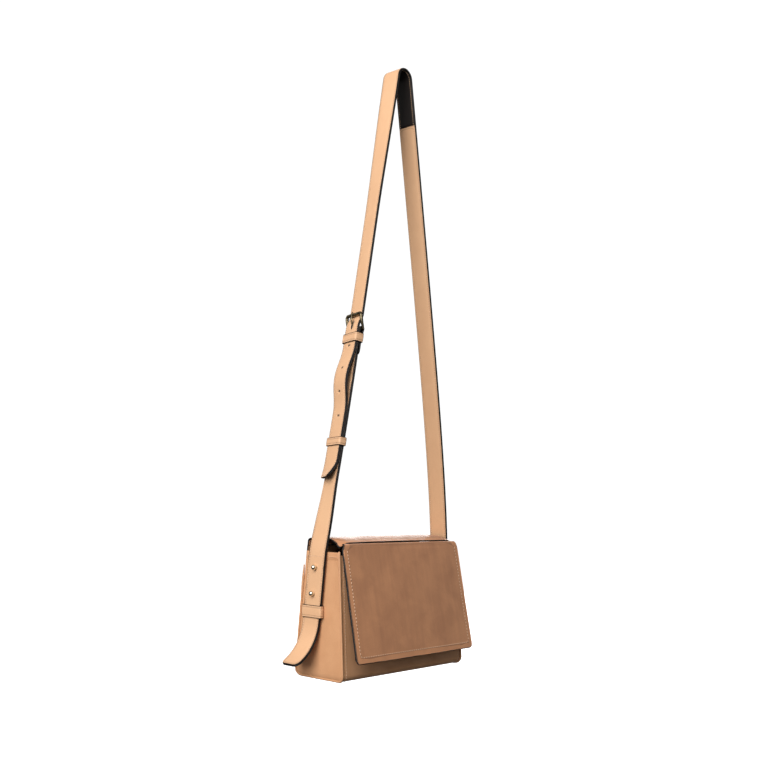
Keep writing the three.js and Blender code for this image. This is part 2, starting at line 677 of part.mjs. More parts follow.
function makeBuckleStrap(root) {
  const { n, f, t } = courseFrame(HEEL_UP);
  const rise = [...footPlaces().reverse(), 30, 50, 70, 90, 160, 220, FOLD_END_UP - GAP];
  const width = (s) => socketHalf(s);
  const backing = band(alongCourse(rise, () => 0, width), STRAP_BACKING);
  add(root, 'buckle_strap_backing', backing, LEATHER_TAN);

  const stations = alongCourse([...rise, HEEL_UP], () => FACE_IN, width);
  const half = HALF_STRAP;
  for (const turn of steps(0, Math.PI, 10).slice(1)) {
    const out = n.clone().multiplyScalar(Math.cos(turn)).addScaledVector(t, Math.sin(turn));
    const p = strandPoint(HEEL_UP, HEEL_OUT).addScaledVector(out, FOLD_RADIUS);
    stations.push({ p, n: out, f, half });
  }
  const inwards = n.clone().negate();
  for (const down of [...steps(0, FOLD_SETTLE, 5).slice(1), FOLD_BACK]) {
    const close = smoothstep(down, 0, FOLD_SETTLE);
    const out = HEEL_OUT - FOLD_RADIUS + (STRAP_BACKING + 2 * FOLD_RADIUS - FACE_IN) * close;
    stations.push({ p: strandPoint(HEEL_UP, out, -down), n: inwards, f, half });
  }
  const slotHalf = PRONG_WIDTH / 2 + 3 * GAP;
  const slot = new THREE.BoxGeometry(HOLE_DEPTH / 2, slotHalf * 2, PRONG_SLOT_LENGTH);
  slot.applyMatrix4(new THREE.Matrix4().makeBasis(n, f, t)).translate(...strandPoint(HEEL_UP, 0).toArray());
  add(root, 'buckle_strap_face', cut(band(stations, LEATHER), slot), LEATHER_TAN);
}

function makeBuckle(root) {
  const buckle = strandGroup(HEEL_UP);
  const side = HALF_STRAP + BUCKLE_SIDE_ROOM + BUCKLE_WIRE;
  const bar = (x, z) => cylinderY(BUCKLE_WIRE, -side, side, x, z, WIRE_SIDES);
  const span = Math.hypot(TOP_BAR_OUT - HEEL_OUT, BUCKLE_LENGTH);
  const tilt = Math.atan2(TOP_BAR_OUT - HEEL_OUT, BUCKLE_LENGTH);
  const rail = (y) => new THREE.CapsuleGeometry(BUCKLE_WIRE * RAIL_SWELL, span, CORNER_STEPS, WIRE_SIDES)
    .rotateX(Math.PI / 2)
    .rotateY(tilt)
    .translate((TOP_BAR_OUT + HEEL_OUT) / 2, y, BUCKLE_LENGTH / 2);
  const frame = join(bar(HEEL_OUT, 0), bar(TOP_BAR_OUT, BUCKLE_LENGTH), rail(-side), rail(side));
  add(buckle, 'buckle_frame', frame, ANTIQUE_BRASS);

  const rest = TOP_BAR_OUT + BUCKLE_WIRE + GAP;
  const eye = FOLD_RADIUS;
  const tip = BUCKLE_LENGTH + PRONG_PAST_BAR;
  const shoulder = BUCKLE_LENGTH * PRONG_SHOULDER;
  const blade = [
    [HEEL_OUT + eye * PRONG_SHOULDER, eye + PRONG_COLLAR / 2],
    [HEEL_OUT + eye + PRONG_COLLAR, 0],
    [rest + PRONG_THICK, shoulder],
    [rest + PRONG_THICK, tip - PRONG_PAST_BAR / 2],
    [rest + PRONG_THICK / 2, tip],
    [rest, tip],
    [rest, shoulder + PRONG_THICK],
  ];
  const halfProng = PRONG_WIDTH / 2;
  const standing = (points) => prismZ(points, -halfProng, halfProng).rotateX(Math.PI / 2);
  const collar = cylinderY(eye + PRONG_COLLAR, -halfProng, halfProng, HEEL_OUT, 0, EYE_SIDES);
  const bore = cylinderY(eye, -PRONG_WIDTH, PRONG_WIDTH, HEEL_OUT, 0, EYE_SIDES);
  add(buckle, 'buckle_prong', cut(join(collar, standing(blade)), bore), ANTIQUE_BRASS);
  root.add(buckle);
}

function makeStrandKeepers(root) {
  const outer = TAIL_OFFSET + STRAP_THICK + KEEPER_CLEAR;
  const fixed = strandGroup(FIXED_KEEPER_UP);
  const behindFold = HEEL_OUT - FOLD_RADIUS - KEEPER_CLEAR;
  add(fixed, 'buckle_keeper', loopGeometry(behindFold, outer, KEEPER_HEIGHT), LEATHER_TAN);
  const sliding = strandGroup(SLIDING_KEEPER_UP);
  add(sliding, 'sliding_keeper', loopGeometry(-KEEPER_CLEAR, outer, SLIDING_KEEPER_HEIGHT), LEATHER_TAN);
  root.add(fixed, sliding);
}

// ---------------------------------------------------------------- assembly

const slingBag = new THREE.Group();
const pouch = new THREE.Group();
pouch.position.z = -HANG;
slingBag.add(pouch);

makeLongStrap(slingBag);
makeBuckleStrap(slingBag);
makeBuckle(slingBag);
makeStrandKeepers(slingBag);

makeBodyWrap(pouch);
makeLining(pouch);
makeBaseBoard(pouch);
makeCatch(pouch);
makeFlapAnchor(pouch);
makeFlapTop(pouch);
makeFlapFront(pouch);
for (const [side, name] of [[-1, 'left'], [1, 'right']]) {
  makeGusset(pouch, side, `gusset_${name}`);
  makeStrapEnd(pouch, side, name);
  makeGussetFittings(pouch, side, name);
}

export default slingBag;
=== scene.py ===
import json
import math

import bmesh
import bpy
import numpy as np
from bpy.props import FloatProperty, FloatVectorProperty, PointerProperty
from bpy.types import Operator, Panel, PropertyGroup
from mathutils import Matrix, Vector


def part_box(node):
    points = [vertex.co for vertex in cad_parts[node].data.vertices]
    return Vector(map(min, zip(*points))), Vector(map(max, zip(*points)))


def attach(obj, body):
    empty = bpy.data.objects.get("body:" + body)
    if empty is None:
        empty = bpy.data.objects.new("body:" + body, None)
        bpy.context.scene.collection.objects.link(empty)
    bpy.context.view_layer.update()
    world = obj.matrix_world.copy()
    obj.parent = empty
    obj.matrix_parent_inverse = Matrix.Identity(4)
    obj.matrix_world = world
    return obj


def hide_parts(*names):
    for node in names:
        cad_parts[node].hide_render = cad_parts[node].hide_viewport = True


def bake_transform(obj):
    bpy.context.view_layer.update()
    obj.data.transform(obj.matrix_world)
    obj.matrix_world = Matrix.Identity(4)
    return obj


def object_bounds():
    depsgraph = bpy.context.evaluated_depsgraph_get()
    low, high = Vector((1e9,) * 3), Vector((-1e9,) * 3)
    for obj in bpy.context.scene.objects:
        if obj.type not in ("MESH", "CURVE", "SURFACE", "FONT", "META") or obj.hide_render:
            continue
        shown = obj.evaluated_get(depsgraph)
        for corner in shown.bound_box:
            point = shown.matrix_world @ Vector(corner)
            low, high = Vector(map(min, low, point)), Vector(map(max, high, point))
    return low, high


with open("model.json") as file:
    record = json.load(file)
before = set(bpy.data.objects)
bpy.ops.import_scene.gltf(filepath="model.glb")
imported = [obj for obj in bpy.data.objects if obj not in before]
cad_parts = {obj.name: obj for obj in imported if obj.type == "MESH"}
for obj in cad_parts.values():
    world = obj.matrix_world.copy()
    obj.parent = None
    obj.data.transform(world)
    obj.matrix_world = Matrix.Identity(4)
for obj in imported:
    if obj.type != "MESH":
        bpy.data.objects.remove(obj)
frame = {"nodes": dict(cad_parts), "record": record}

bl_info = {
    "name": "Leather sling bag",
    "version": (1, 0, 0),
    "blender": (4, 5, 0),
    "location": "3D View > Sidebar > Sling Bag",
    "description": "Dresses the packed frame of a small leather sling bag on a long buckled strap",
    "category": "Object",
}

CAD_BOX = [list(corner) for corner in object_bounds()]

# Lengths below are in millimetres in the frame's own axes; meshes are scaled to metres as they are made.
MM = 0.001


def frame_box(node):
    low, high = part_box(node)
    return np.array(low) / MM, np.array(high) / MM


def joint_place(name):
    joint = next(j for j in frame["record"]["behaviour"]["joints"] if j["name"] == name)
    return np.array(joint["pos_m"]) / MM


BODY_LOW, BODY_HIGH = frame_box("body_wrap")
LINING_LOW, LINING_HIGH = frame_box("lining")
PLATE_LOW, PLATE_HIGH = frame_box("stud_plate_left")
FRONT_LOW, FRONT_HIGH = frame_box("flap_front_leather")
GUSSET_HIGH = frame_box("gusset_left")[1]
END_HIGH = frame_box("strap_end_backing_left")[1]
ANCHOR_HIGH = frame_box("flap_anchor")[1]
SWING = joint_place("strap_swing")
HINGE = joint_place("flap_lift")
CREASE = joint_place("flap_fold")
HEEL = joint_place("buckle_tilt")

# how far in from an edge the seams run
HEM_SEAM, FLAP_SEAM, BODY_SEAM = 6.9, 7.6, 6.0

BASE_Z = BODY_LOW[2]
HEM_Z = SWING[2]
HEM_X = -END_HIGH[0]
SETBACK = SWING[1]


# ---------------------------------------------------------------- settings


def length(label, about, metres):
    return FloatProperty(name=label, description=about, default=metres, unit="LENGTH")


def colour(label, about, *default):
    return FloatVectorProperty(name=label, description=about, subtype="COLOR", size=3, min=0, max=1, default=default)


class BagSizes(PropertyGroup):
    mouth_depth: length("Mouth depth", "Front to back at the hem", 0.058)
    base_depth: length("Base depth", "Front to back at the base", 0.080)
    base_radius: length("Base radius", "Rounding of the base's long edges", 0.0075)
    leather: length("Body leather", "Thickness of the pouch's leather", 0.0016)
    welt: length("Corner welt", "Radius of the raised corner seam", 0.0015)
    flap_leather: length("Flap leather", "Thickness of the flap's leather", 0.0020)
    flap_hump: length("Flap hump", "How far the flap's top rises behind the crease", 0.0060)
    flap_corner: length("Flap corner", "Rounding of the flap's lower corners", 0.006)


class StrapSizes(PropertyGroup):
    face: length("Strap face", "Thickness of the strap's outer leather", 0.0018)
    backing: length("Strap backing", "Thickness of the strap's inner leather", 0.0015)
    stitch_inset: length("Stitch inset", "Stitch row's distance from the strap's edge", 0.0026)
    stitch_pitch: length("Stitch pitch", "Distance from one stitch to the next", 0.0030)
    stitch_radius: length("Thread radius", "Radius of the sewing thread", 0.00042)


class BagFinishes(PropertyGroup):
    natural: colour("Natural leather", "Body leather", 0.64, 0.335, 0.168)
    natural_deep: colour("Natural leather, deep", "Its darker patches", 0.53, 0.25, 0.113)
    strap: colour("Strap leather", "The paler leather of the straps and loops", 0.72, 0.425, 0.235)
    strap_deep: colour("Strap leather, deep", "Its darker patches", 0.62, 0.34, 0.18)
    flap: colour("Flap leather", "Flap leather", 0.60, 0.275, 0.128)
    flap_deep: colour("Flap leather, deep", "Its darker streaks", 0.42, 0.185, 0.088)
    edge: colour("Edge paint", "The dark paint on the cut edges", 0.012, 0.009, 0.008)
    thread: colour("Thread", "Sewing thread", 0.78, 0.52, 0.34)
    cloth: colour("Lining", "Woven lining", 0.010, 0.009, 0.009)
    dark_brass: colour("Antique brass", "Buckle", 0.36, 0.29, 0.17)
    pale_brass: colour("Pale brass", "Ball studs", 0.86, 0.78, 0.62)


class StudioSettings(PropertyGroup):
    floor_drop: length("Floor drop", "How far the bag hangs above the floor", 0.15)
    key_power: FloatProperty(
        name="Key light", description="Power of the large side light", default=73, subtype="POWER")
    fill_power: FloatProperty(name="Fill light", description="Power of the front light", default=13, subtype="POWER")
    rim_power: FloatProperty(name="Back light", description="Power of the back light", default=40, subtype="POWER")
    sky: FloatProperty(name="Sky", description="Strength of the white surround on the bag", default=0.3)
    lens: FloatProperty(name="Lens", description="Focal length", default=47.8, unit="CAMERA")


def mm(value):
    return value / MM


# ---------------------------------------------------------------- mesh makers


def unit(vectors):
    return vectors / np.maximum(np.linalg.norm(vectors, axis=-1, keepdims=True), 1e-12)


def smoothstep(value, low, high):
    t = np.clip((np.asarray(value, float) - low) / (high - low), 0, 1)
    return t * t * (3 - 2 * t)


def build_object(name, points, faces, materials, face_materials=None, uv=None, edge=None):
    """A smooth-shaded mesh object from points in millimetres."""
    mesh = bpy.data.meshes.new(name)
    mesh.from_pydata([tuple(p) for p in np.asarray(points, float) * MM], [], [tuple(f) for f in faces])
    for material in materials:
        mesh.materials.append(material)
    if face_materials is not None:
        mesh.polygons.foreach_set("material_index", list(face_materials))
    mesh.polygons.foreach_set("use_smooth", [True] * len(mesh.polygons))
    if uv is not None:
        layer = mesh.uv_layers.new(name="grain_map")
        loops = np.zeros(len(mesh.loops), int)
        mesh.loops.foreach_get("vertex_index", loops)
        layer.data.foreach_set("uv", (np.asarray(uv, float)[loops] * MM).ravel())
    if edge is not None:
        attribute = mesh.attributes.new("edge_distance", "FLOAT", "POINT")
        attribute.data.foreach_set("value", np.asarray(edge, np.float32))
    mesh.validate()
    mesh.update()
    piece = bpy.data.objects.new(name, mesh)
    bpy.context.collection.objects.link(piece)
    return piece


def band(low, high, sides):
    """Quads between two rings of points that start at the given indices."""
    return [(low + j, low + (j + 1) % sides, high + (j + 1) % sides, high + j) for j in range(sides)]


def face_outwards(piece):
    shape = bmesh.new()
    shape.from_mesh(piece.data)
    bmesh.ops.recalc_face_normals(shape, faces=shape.faces)
    shape.to_mesh(piece.data)
    shape.free()
    return piece


def surface_normals(grid, loop):
    along = np.roll(grid, -1, 0) - np.roll(grid, 1, 0) if loop else np.gradient(grid, axis=0)
    return unit(np.cross(along, np.gradient(grid, axis=1)))


def rim_paths(rows, columns, loop):
    """The sheet's borders as lists of (row, column), anticlockwise seen from its outer face."""
    if loop:
        return [[(i, 0) for i in range(rows)], [(i, columns - 1) for i in reversed(range(rows))]]
    path = [(i, 0) for i in range(rows)]
    path += [(rows - 1, j) for j in range(1, columns)]
    path += [(i, columns - 1) for i in range(rows - 2, -1, -1)]
    path += [(0, j) for j in range(columns - 2, 0, -1)]
    return [path]


RIM_TURNS = 4


def leather_sheet(name, grid, thick, materials, outward, loop=False, relief=None, under=None):
    """A closed sheet round a grid of middle-surface points, with a rounded rim.

    materials are (outer face, rim, inner face); relief and under push the two faces out in millimetres.
    """
    grid = np.asarray(grid, float)
    normals = surface_normals(grid, loop)
    if np.mean(np.sum(normals * np.asarray(outward, float), axis=-1)) < 0:
        grid = grid[:, ::-1]
        relief = relief[:, ::-1] if relief is not None else None
        under = under[:, ::-1] if under is not None else None
        normals = surface_normals(grid, loop)
    rows, columns = grid.shape[:2]
    relief = np.zeros((rows, columns)) if relief is None else relief
    under = np.zeros((rows, columns)) if under is None else under
    half = thick / 2
    outer = grid + normals * (half + relief)[..., None]
    inner = grid - normals * (half + under)[..., None]
    run = np.linalg.norm(np.diff(grid, axis=0), axis=-1).mean(axis=1)
    u = np.concatenate([[0], np.cumsum(run)])
    across = np.linalg.norm(np.diff(grid[rows // 2], axis=0), axis=-1)
    v = np.concatenate([[0], np.cumsum(across)])
    v -= v[-1] / 2
    flat = np.stack(np.broadcast_arrays(v[None, :], u[:, None]), axis=-1)

    index = np.arange(rows * columns).reshape(rows, columns)
    last = rows if loop else rows - 1
    points, uvs, faces, slots = [], [], [], []
    rims = []
    extra = 2 * rows * columns
    for path in rim_paths(rows, columns, loop):
        i, j = np.array(path).T
        edge = grid[i, j]
        normal = normals[i, j]
        ahead, behind = np.roll(edge, -1, 0) - edge, edge - np.roll(edge, 1, 0)
        side = unit(np.cross(ahead + behind, normal))
        step = unit(np.cross(ahead, normal))
        inset = half / np.maximum(np.sum(side * step, axis=-1, keepdims=True), 0.6)
        middle = edge - side * inset
        outer[i, j] = middle + normal * half
        inner[i, j] = middle - normal * half
        ring = [index[i, j]]
        for k in range(1, RIM_TURNS):
            turn = math.pi * k / RIM_TURNS
            points.append(middle + side * inset * math.sin(turn) + normal * half * math.cos(turn))
            uvs.append(flat[i, j])
            ring.append(extra + np.arange(len(path)))
            extra += len(path)
        ring.append(index[i, j] + rows * columns)
        rims.append(ring)
    points = np.concatenate([outer.reshape(-1, 3), inner.reshape(-1, 3), *points])
    uvs = np.concatenate([flat.reshape(-1, 2), flat.reshape(-1, 2), *uvs])
    for i in range(last):
        k = (i + 1) % rows
        for j in range(columns - 1):
            quad = (index[i, j], index[k, j], index[k, j + 1], index[i, j + 1])
            faces.append(quad)
            faces.append(tuple(q + rows * columns for q in reversed(quad)))
            slots += [0, 2]
    for ring in rims:
        count = len(ring[0])
        for a, b in zip(ring, ring[1:]):
            for n in range(count):
                m = (n + 1) % count
                faces.append((a[m], a[n], b[n], b[m]))
                slots.append(1)
    border = np.concatenate([grid[tuple(np.array(path).T)] for path in rim_paths(rows, columns, loop)])
    near = np.array([np.min(np.linalg.norm(border - p, axis=1)) for p in grid.reshape(-1, 3)])
    edge = np.concatenate([near, near, np.zeros(len(points) - 2 * len(near))])
    return build_object(name, points, faces, materials, slots, uvs, edge)


def smooth_path(points, rounds=3):
    """Cuts the corners of an open path so that it bends evenly."""
    path = np.asarray(points, float)
    for _ in range(rounds):
        near = path[:-1] * 0.75 + path[1:] * 0.25
        far = path[:-1] * 0.25 + path[1:] * 0.75
        path = np.concatenate([path[:1], np.stack([near, far], 1).reshape(-1, path.shape[1]), path[-1:]])
    return path


def path_lengths(path):
    return np.concatenate([[0], np.cumsum(np.linalg.norm(np.diff(path, axis=0), axis=1))])


def sample(run, values, places):
    """Rows of values known at the distances in run, read at other places."""
    return np.stack([np.interp(places, run, column) for column in np.asarray(values, float).T], axis=-1)


def resample(path, places):
    """Points of the path at the given distances along it."""
    return sample(path_lengths(path), path, places)


def evenly(path, step):
    total = path_lengths(path)[-1]
    return resample(path, np.linspace(0, total, max(2, round(total / step) + 1)))


TUBE_END_TURNS = 1.5, 1.2, 0.7


def tube(name, path, radius, materials, sides, loop=False):
    """A round bar along a path, with rounded ends unless it is a loop."""
    path = np.asarray(path, float)
    radii = np.broadcast_to(np.asarray(radius, float), (len(path),)).copy()
    if not loop:
        turns = np.array(TUBE_END_TURNS)
        start = path[0] + unit(path[0] - path[1]) * (radii[0] * np.sin(turns))[:, None]
        end = path[-1] + unit(path[-1] - path[-2]) * (radii[-1] * np.sin(turns[::-1]))[:, None]
        radii = np.concatenate([radii[0] * np.cos(turns), radii, radii[-1] * np.cos(turns[::-1])])
        path = np.concatenate([start, path, end])
    tangent = unit(np.roll(path, -1, 0) - np.roll(path, 1, 0)) if loop else unit(np.gradient(path, axis=0))
    seed = np.array([0.0, 0.0, 1.0]) if abs(tangent[0][2]) < 0.8 else np.array([0.0, 1.0, 0.0])
    frames = []
    normal = unit(np.cross(tangent[0], seed))
    for t in tangent:
        normal = unit(normal - t * np.dot(normal, t))
        frames.append((normal, np.cross(t, normal)))
    points = []
    for p, r, (a, b) in zip(path, radii, frames):
        for k in range(sides):
            turn = 2 * math.pi * k / sides
            points.append(p + (a * math.cos(turn) + b * math.sin(turn)) * r)
    faces = []
    rings = len(path)
    for i in range(rings if loop else rings - 1):
        faces += band(i * sides, (i + 1) % rings * sides, sides)
    if not loop:
        faces.append(tuple(reversed(range(sides))))
        faces.append(tuple(range((rings - 1) * sides, rings * sides)))
    return build_object(name, points, faces, materials)


def turned(name, profile, place, axis, materials, sides=36):
    """A piece turned on a lathe; profile is (distance along the axis, radius)."""
    axis = unit(np.asarray(axis, float))
    a = unit(np.cross(axis, [0.0, 1.0, 0.0]))
    b = np.cross(axis, a)
    points = [np.asarray(place, float) + axis * profile[0][0]]
    for along, radius in profile[1:-1]:
        for k in range(sides):
            turn = 2 * math.pi * k / sides
            points.append(place + axis * along + (a * math.cos(turn) + b * math.sin(turn)) * radius)
    points.append(place + axis * profile[-1][0])
    top = 1 + (len(profile) - 3) * sides
    faces = []
    for j in range(sides):
        m = (j + 1) % sides
        faces += [(0, 1 + m, 1 + j), (len(points) - 1, top + j, top + m)]
    for low in range(1, top, sides):
        faces += band(low, low + sides, sides)
    return build_object(name, points, faces, materials)


# rings of one stitch: place along it, height over the leather, thickness
STITCH_RINGS = ((0.0, -0.9, 0.45), (0.18, 0.0, 0.85), (0.5, 0.35, 1.0), (0.82, 0.0, 0.85), (1.0, -0.9, 0.45))
STITCH_SIDES = 6
STITCH_SHARE = 0.64


def sew(name, rows, pitch=1.0, thick=1.0):
    """Sewing threads along rows of (path, normals), each thread its own small closed piece.

    pitch and thick are shares of the stitch settings.
    """
    settings = bpy.context.scene.strap_sizes
    radius = mm(settings.stitch_radius) * thick
    points, faces = [], []
    for path, normals in rows:
        path = np.asarray(path, float)
        run = path_lengths(path)
        count = max(1, round(run[-1] / (mm(settings.stitch_pitch) * pitch)))
        gap = run[-1] / count
        long = gap * STITCH_SHARE
        for middle in gap * (np.arange(count) + 0.5):
            start, centre, stop = sample(run, path, [middle - long / 2, middle, middle + long / 2])
            t = unit(stop - start)
            normal = sample(run, normals, middle)
            n = unit(normal - t * np.dot(normal, t))
            side = np.cross(t, n)
            base = len(points)
            for share, lift, swell in STITCH_RINGS:
                ring = centre + t * long * (share - 0.5) + n * radius * lift
                for k in range(STITCH_SIDES):
                    turn = 2 * math.pi * k / STITCH_SIDES
                    points.append(ring + (side * math.cos(turn) + n * math.sin(turn) * 0.8) * radius * swell)
            top = len(points) - STITCH_SIDES
            for low in range(base, top, STITCH_SIDES):
                faces += [quad[::-1] for quad in band(low, low + STITCH_SIDES, STITCH_SIDES)]
            faces += [tuple(range(base, base + STITCH_SIDES)), tuple(reversed(range(top, top + STITCH_SIDES)))]
    return build_object(name, points, faces, [finish("tan thread")])


def cut_holes(piece, cutters):
    """Cuts real holes in a sheet and applies the cut."""
    for cutter in cutters:
        modifier = piece.modifiers.new("hole", "BOOLEAN")
        modifier.operation = "DIFFERENCE"
        modifier.solver = "EXACT"
        modifier.object = cutter
        modifier.material_mode = "TRANSFER"
    graph = bpy.context.evaluated_depsgraph_get()
    mesh = bpy.data.meshes.new_from_object(piece.evaluated_get(graph))
    piece.modifiers.clear()
    piece.data = mesh
    for cutter in cutters:
        bpy.data.objects.remove(cutter)
    return piece


# ---------------------------------------------------------------- the strap's course

HOLD_RADIUS = 11.0
RISE = -HEM_Z
TO_HOLD = math.hypot(HEM_X, RISE - HOLD_RADIUS)
LEAN = math.atan2(HEM_X, RISE - HOLD_RADIUS) - math.asin(HOLD_RADIUS / TO_HOLD)
STRAND = math.sqrt(TO_HOLD ** 2 - HOLD_RADIUS ** 2)
OVER = HOLD_RADIUS * (math.pi - 2 * LEAN)
COURSE = 2 * STRAND + OVER
STRAP_HALF = (PLATE_HIGH[1] - PLATE_LOW[1]) / 2
STRAP_THICK = 3.3
TWIST = math.radians(-13.5)
TWIST_FROM, TWIST_FULL, TWIST_EASE = 10, 90, 420
LEAD, LEAD_LENGTH = 10.0, 110.0
SLANT = LEAD / LEAD_LENGTH
HEM_BEND = 9.0
END_STRAIGHT, END_CURL_RADIUS, END_CURL_ANGLE = 84.0, 55.0, math.radians(65)
END_LENGTH = END_STRAIGHT + END_CURL_RADIUS * END_CURL_ANGLE


def leaning(lean):
    """Outward normal and onward tangent of the left strand when it leans inwards."""
    return np.array([-math.cos(lean), 0, math.sin(lean)]), np.array([math.sin(lean), 0, math.cos(lean)])


HEEL_UP = float(np.dot(HEEL - np.array([-HEM_X, SETBACK, HEM_Z]), leaning(LEAN)[1]))


def rolled(n, f, t, turn):
    """The strap's normal and frontward direction, rolled about its length."""
    return [v * math.cos(turn) + np.cross(t, v) * math.sin(turn) for v in (n, f)]


def end_station(down):
    """Left gusset end: inner-face point, outward normal and upward tangent, at a distance below the hem."""
    turn = max(0.0, down - END_STRAIGHT) / END_CURL_RADIUS
    x = -HEM_X - END_CURL_RADIUS * (1 - math.cos(turn))
    z = HEM_Z - min(down, END_STRAIGHT) - END_CURL_RADIUS * math.sin(turn)
    return np.array([x, 0, z]), *leaning(turn)


def strand_station(up):
    n, t = leaning(LEAN)
    return np.array([-HEM_X, 0, HEM_Z]) + up * t, n, t


def setback_at(up):
    """The strap slants forwards as it climbs the gusset, and less and less so above the hem."""
    return SETBACK - SLANT * up if up < 0 else SETBACK - LEAD * (1 - math.exp(-up / LEAD_LENGTH))


def left_station(s):
    """Left half of the course, from the gusset end (below 0) to the hold, as if it had no setback."""
    if s <= -HEM_BEND:
        return end_station(-s)
    if s < HEM_BEND:
        below, above = end_station(HEM_BEND)[0], strand_station(HEM_BEND)[0]
        corner = np.array([-HEM_X, 0, HEM_Z])
        share = (s + HEM_BEND) / (2 * HEM_BEND)
        p = below * (1 - share) ** 2 + corner * 2 * share * (1 - share) + above * share ** 2
        return p, *leaning(LEAN * share)
    if s <= STRAND:
        return strand_station(s)
    n, t = leaning(LEAN + (s - STRAND) / HOLD_RADIUS)
    return np.array([0, 0, -HOLD_RADIUS]) + n * HOLD_RADIUS, n, t


def course(s):
    """Inner-face point p, outward n, frontward f and onward t of the strap at a distance along it."""
    mirrored = s > COURSE / 2
    p, n, t = left_station(COURSE - s if mirrored else s)
    if mirrored:
        flip = np.array([-1.0, 1, 1])
        p, n, t = p * flip, n * flip, -t * flip
    p[1] = setback_at(min(s, COURSE - s))
    f = np.array([0.0, -1.0, 0.0])
    if s < STRAND:
        share = smoothstep(s, TWIST_FROM, TWIST_FULL) * (1 - smoothstep(s, TWIST_EASE, STRAND))
        n, f = rolled(n, f, t, TWIST * float(share))
    return p, n, f, t


# share of the half-width, and where a column stands for the stitch groove
STRAP_COLUMNS = np.array([-1, -0.94, -0.875, -0.8143, -0.75, -0.4, 0, 0.4, 0.75, 0.8143, 0.875, 0.94, 1])
STITCH_COLUMN = 3
GROOVE = 0.22
CROWN = 0.12


def grooves(rows):
    relief = np.zeros((rows, len(STRAP_COLUMNS)))
    relief[:, [STITCH_COLUMN, -1 - STITCH_COLUMN]] = -GROOVE
    return relief


def strap_row(centre, f, half):
    return [centre + f * (share * half) for share in STRAP_COLUMNS]


def strap_layer(name, places, offset, half, lift, thick, crowned, at=course):
    """One leather of the strap through the given places; crowned is 'relief' or 'under', the face that shows."""
    grid, outward = [], []
    for s in places:
        p, n, f, _ = at(s)
        grid.append(strap_row(p + n * (offset(s) + lift + thick / 2), f, half(s)))
        outward.append([n] * len(STRAP_COLUMNS))
    swell = {crowned: grooves(len(places)) + CROWN * (1 - STRAP_COLUMNS ** 2)}
    return leather_sheet(name, grid, thick, painted("strap leather"), outward, **swell)


TIP_LENGTH = 9.0


def tip_half(distance):
    """Half-width near a blunt rounded tip."""
    inside = min(max(distance, 0) / TIP_LENGTH, 1)
    return STRAP_HALF * (0.55 + 0.45 * math.sqrt(inside * (2 - inside)))


def span(start, stop, step):
    return list(np.linspace(start, stop, max(2, round((stop - start) / step) + 1)))


def join_places(*runs):
    places = sorted(set(round(s, 4) for run in runs for s in run))
    kept = [places[0]]
    for s in places[1:]:
        if s - kept[-1] > 0.35:
            kept.append(s)
    return kept


def strap_stitch_rows(start, stop, offset, lift, outside, inset, clear=(), at=course):
    """Two stitch rows along a strap face, left out inside the clear spans."""
    rows = []
    for side in (-1, 1):
        path, normals = [], []
        for s in span(start, stop, 3.0):
            if any(a < s < b for a, b in clear):
                if len(path) > 2:
                    rows.append((path, normals))
                path, normals = [], []
                continue
            p, n, f, _ = at(s)
            path.append(p + n * (offset(s) + lift) + f * side * (STRAP_HALF - inset))
            normals.append(n if outside else -n)
        if len(path) > 2:
            rows.append((path, normals))
    return rows


# the long strap's tail passes through the buckle and hangs outside the lower strap
TAIL_OFFSET = STRAP_THICK + 0.4
BUCKLE_LENGTH = 18.5
CROSSING_FOOT, CROSSING_TOP = HEEL_UP + 3, HEEL_UP + BUCKLE_LENGTH - 1
TAIL_TIP = 86.0
TAIL_FLARE, TAIL_FLARE_LENGTH = 2.2, 14.0
TAIL_TURN, TAIL_TURN_LENGTH = math.radians(-15), 23.0
BULGE, BULGE_UP, BULGE_HALF = 6.0, 212.0, 42.0
HOLE_UP, HOLE_PITCH, HOLE_COUNT, HOLE_RADIUS = HEEL_UP + 8, 30.0, 4, 1.25
BACKING_JOINT = 60.0


def long_offset(s):
    outside = TAIL_OFFSET * (1 - float(smoothstep(s, CROSSING_FOOT, CROSSING_TOP)))
    bulge = BULGE * 0.5 * (1 + math.cos(math.pi * min(abs(s - BULGE_UP) / BULGE_HALF, 1)))
    flare = max(0.0, (TAIL_TIP + TAIL_FLARE_LENGTH - s) / TAIL_FLARE_LENGTH)
    return outside + bulge + TAIL_FLARE * flare ** 2


def long_course(s):
    """The long strap's course, whose hanging tail turns its front edge outwards."""
    p, n, f, t = course(s)
    turn = TAIL_TURN * (1 - float(smoothstep(s, TAIL_TIP, TAIL_TIP + TAIL_TURN_LENGTH)))
    return p - n * STRAP_HALF * math.sin(turn), *rolled(n, f, t, turn), t


def long_half(s):
    return min(tip_half(s - TAIL_TIP), tip_half(COURSE + END_LENGTH - s))


def lower_offset(_):
    return 0.0


def lower_half(s):
    return tip_half(s + END_LENGTH)


# two points across the gusset's hem, where the strap leaves the pouch
HEM_BLEND = (0, SETBACK, HEM_Z + 18), (0, SETBACK, HEM_Z - 14)


# ---------------------------------------------------------------- shader node groups


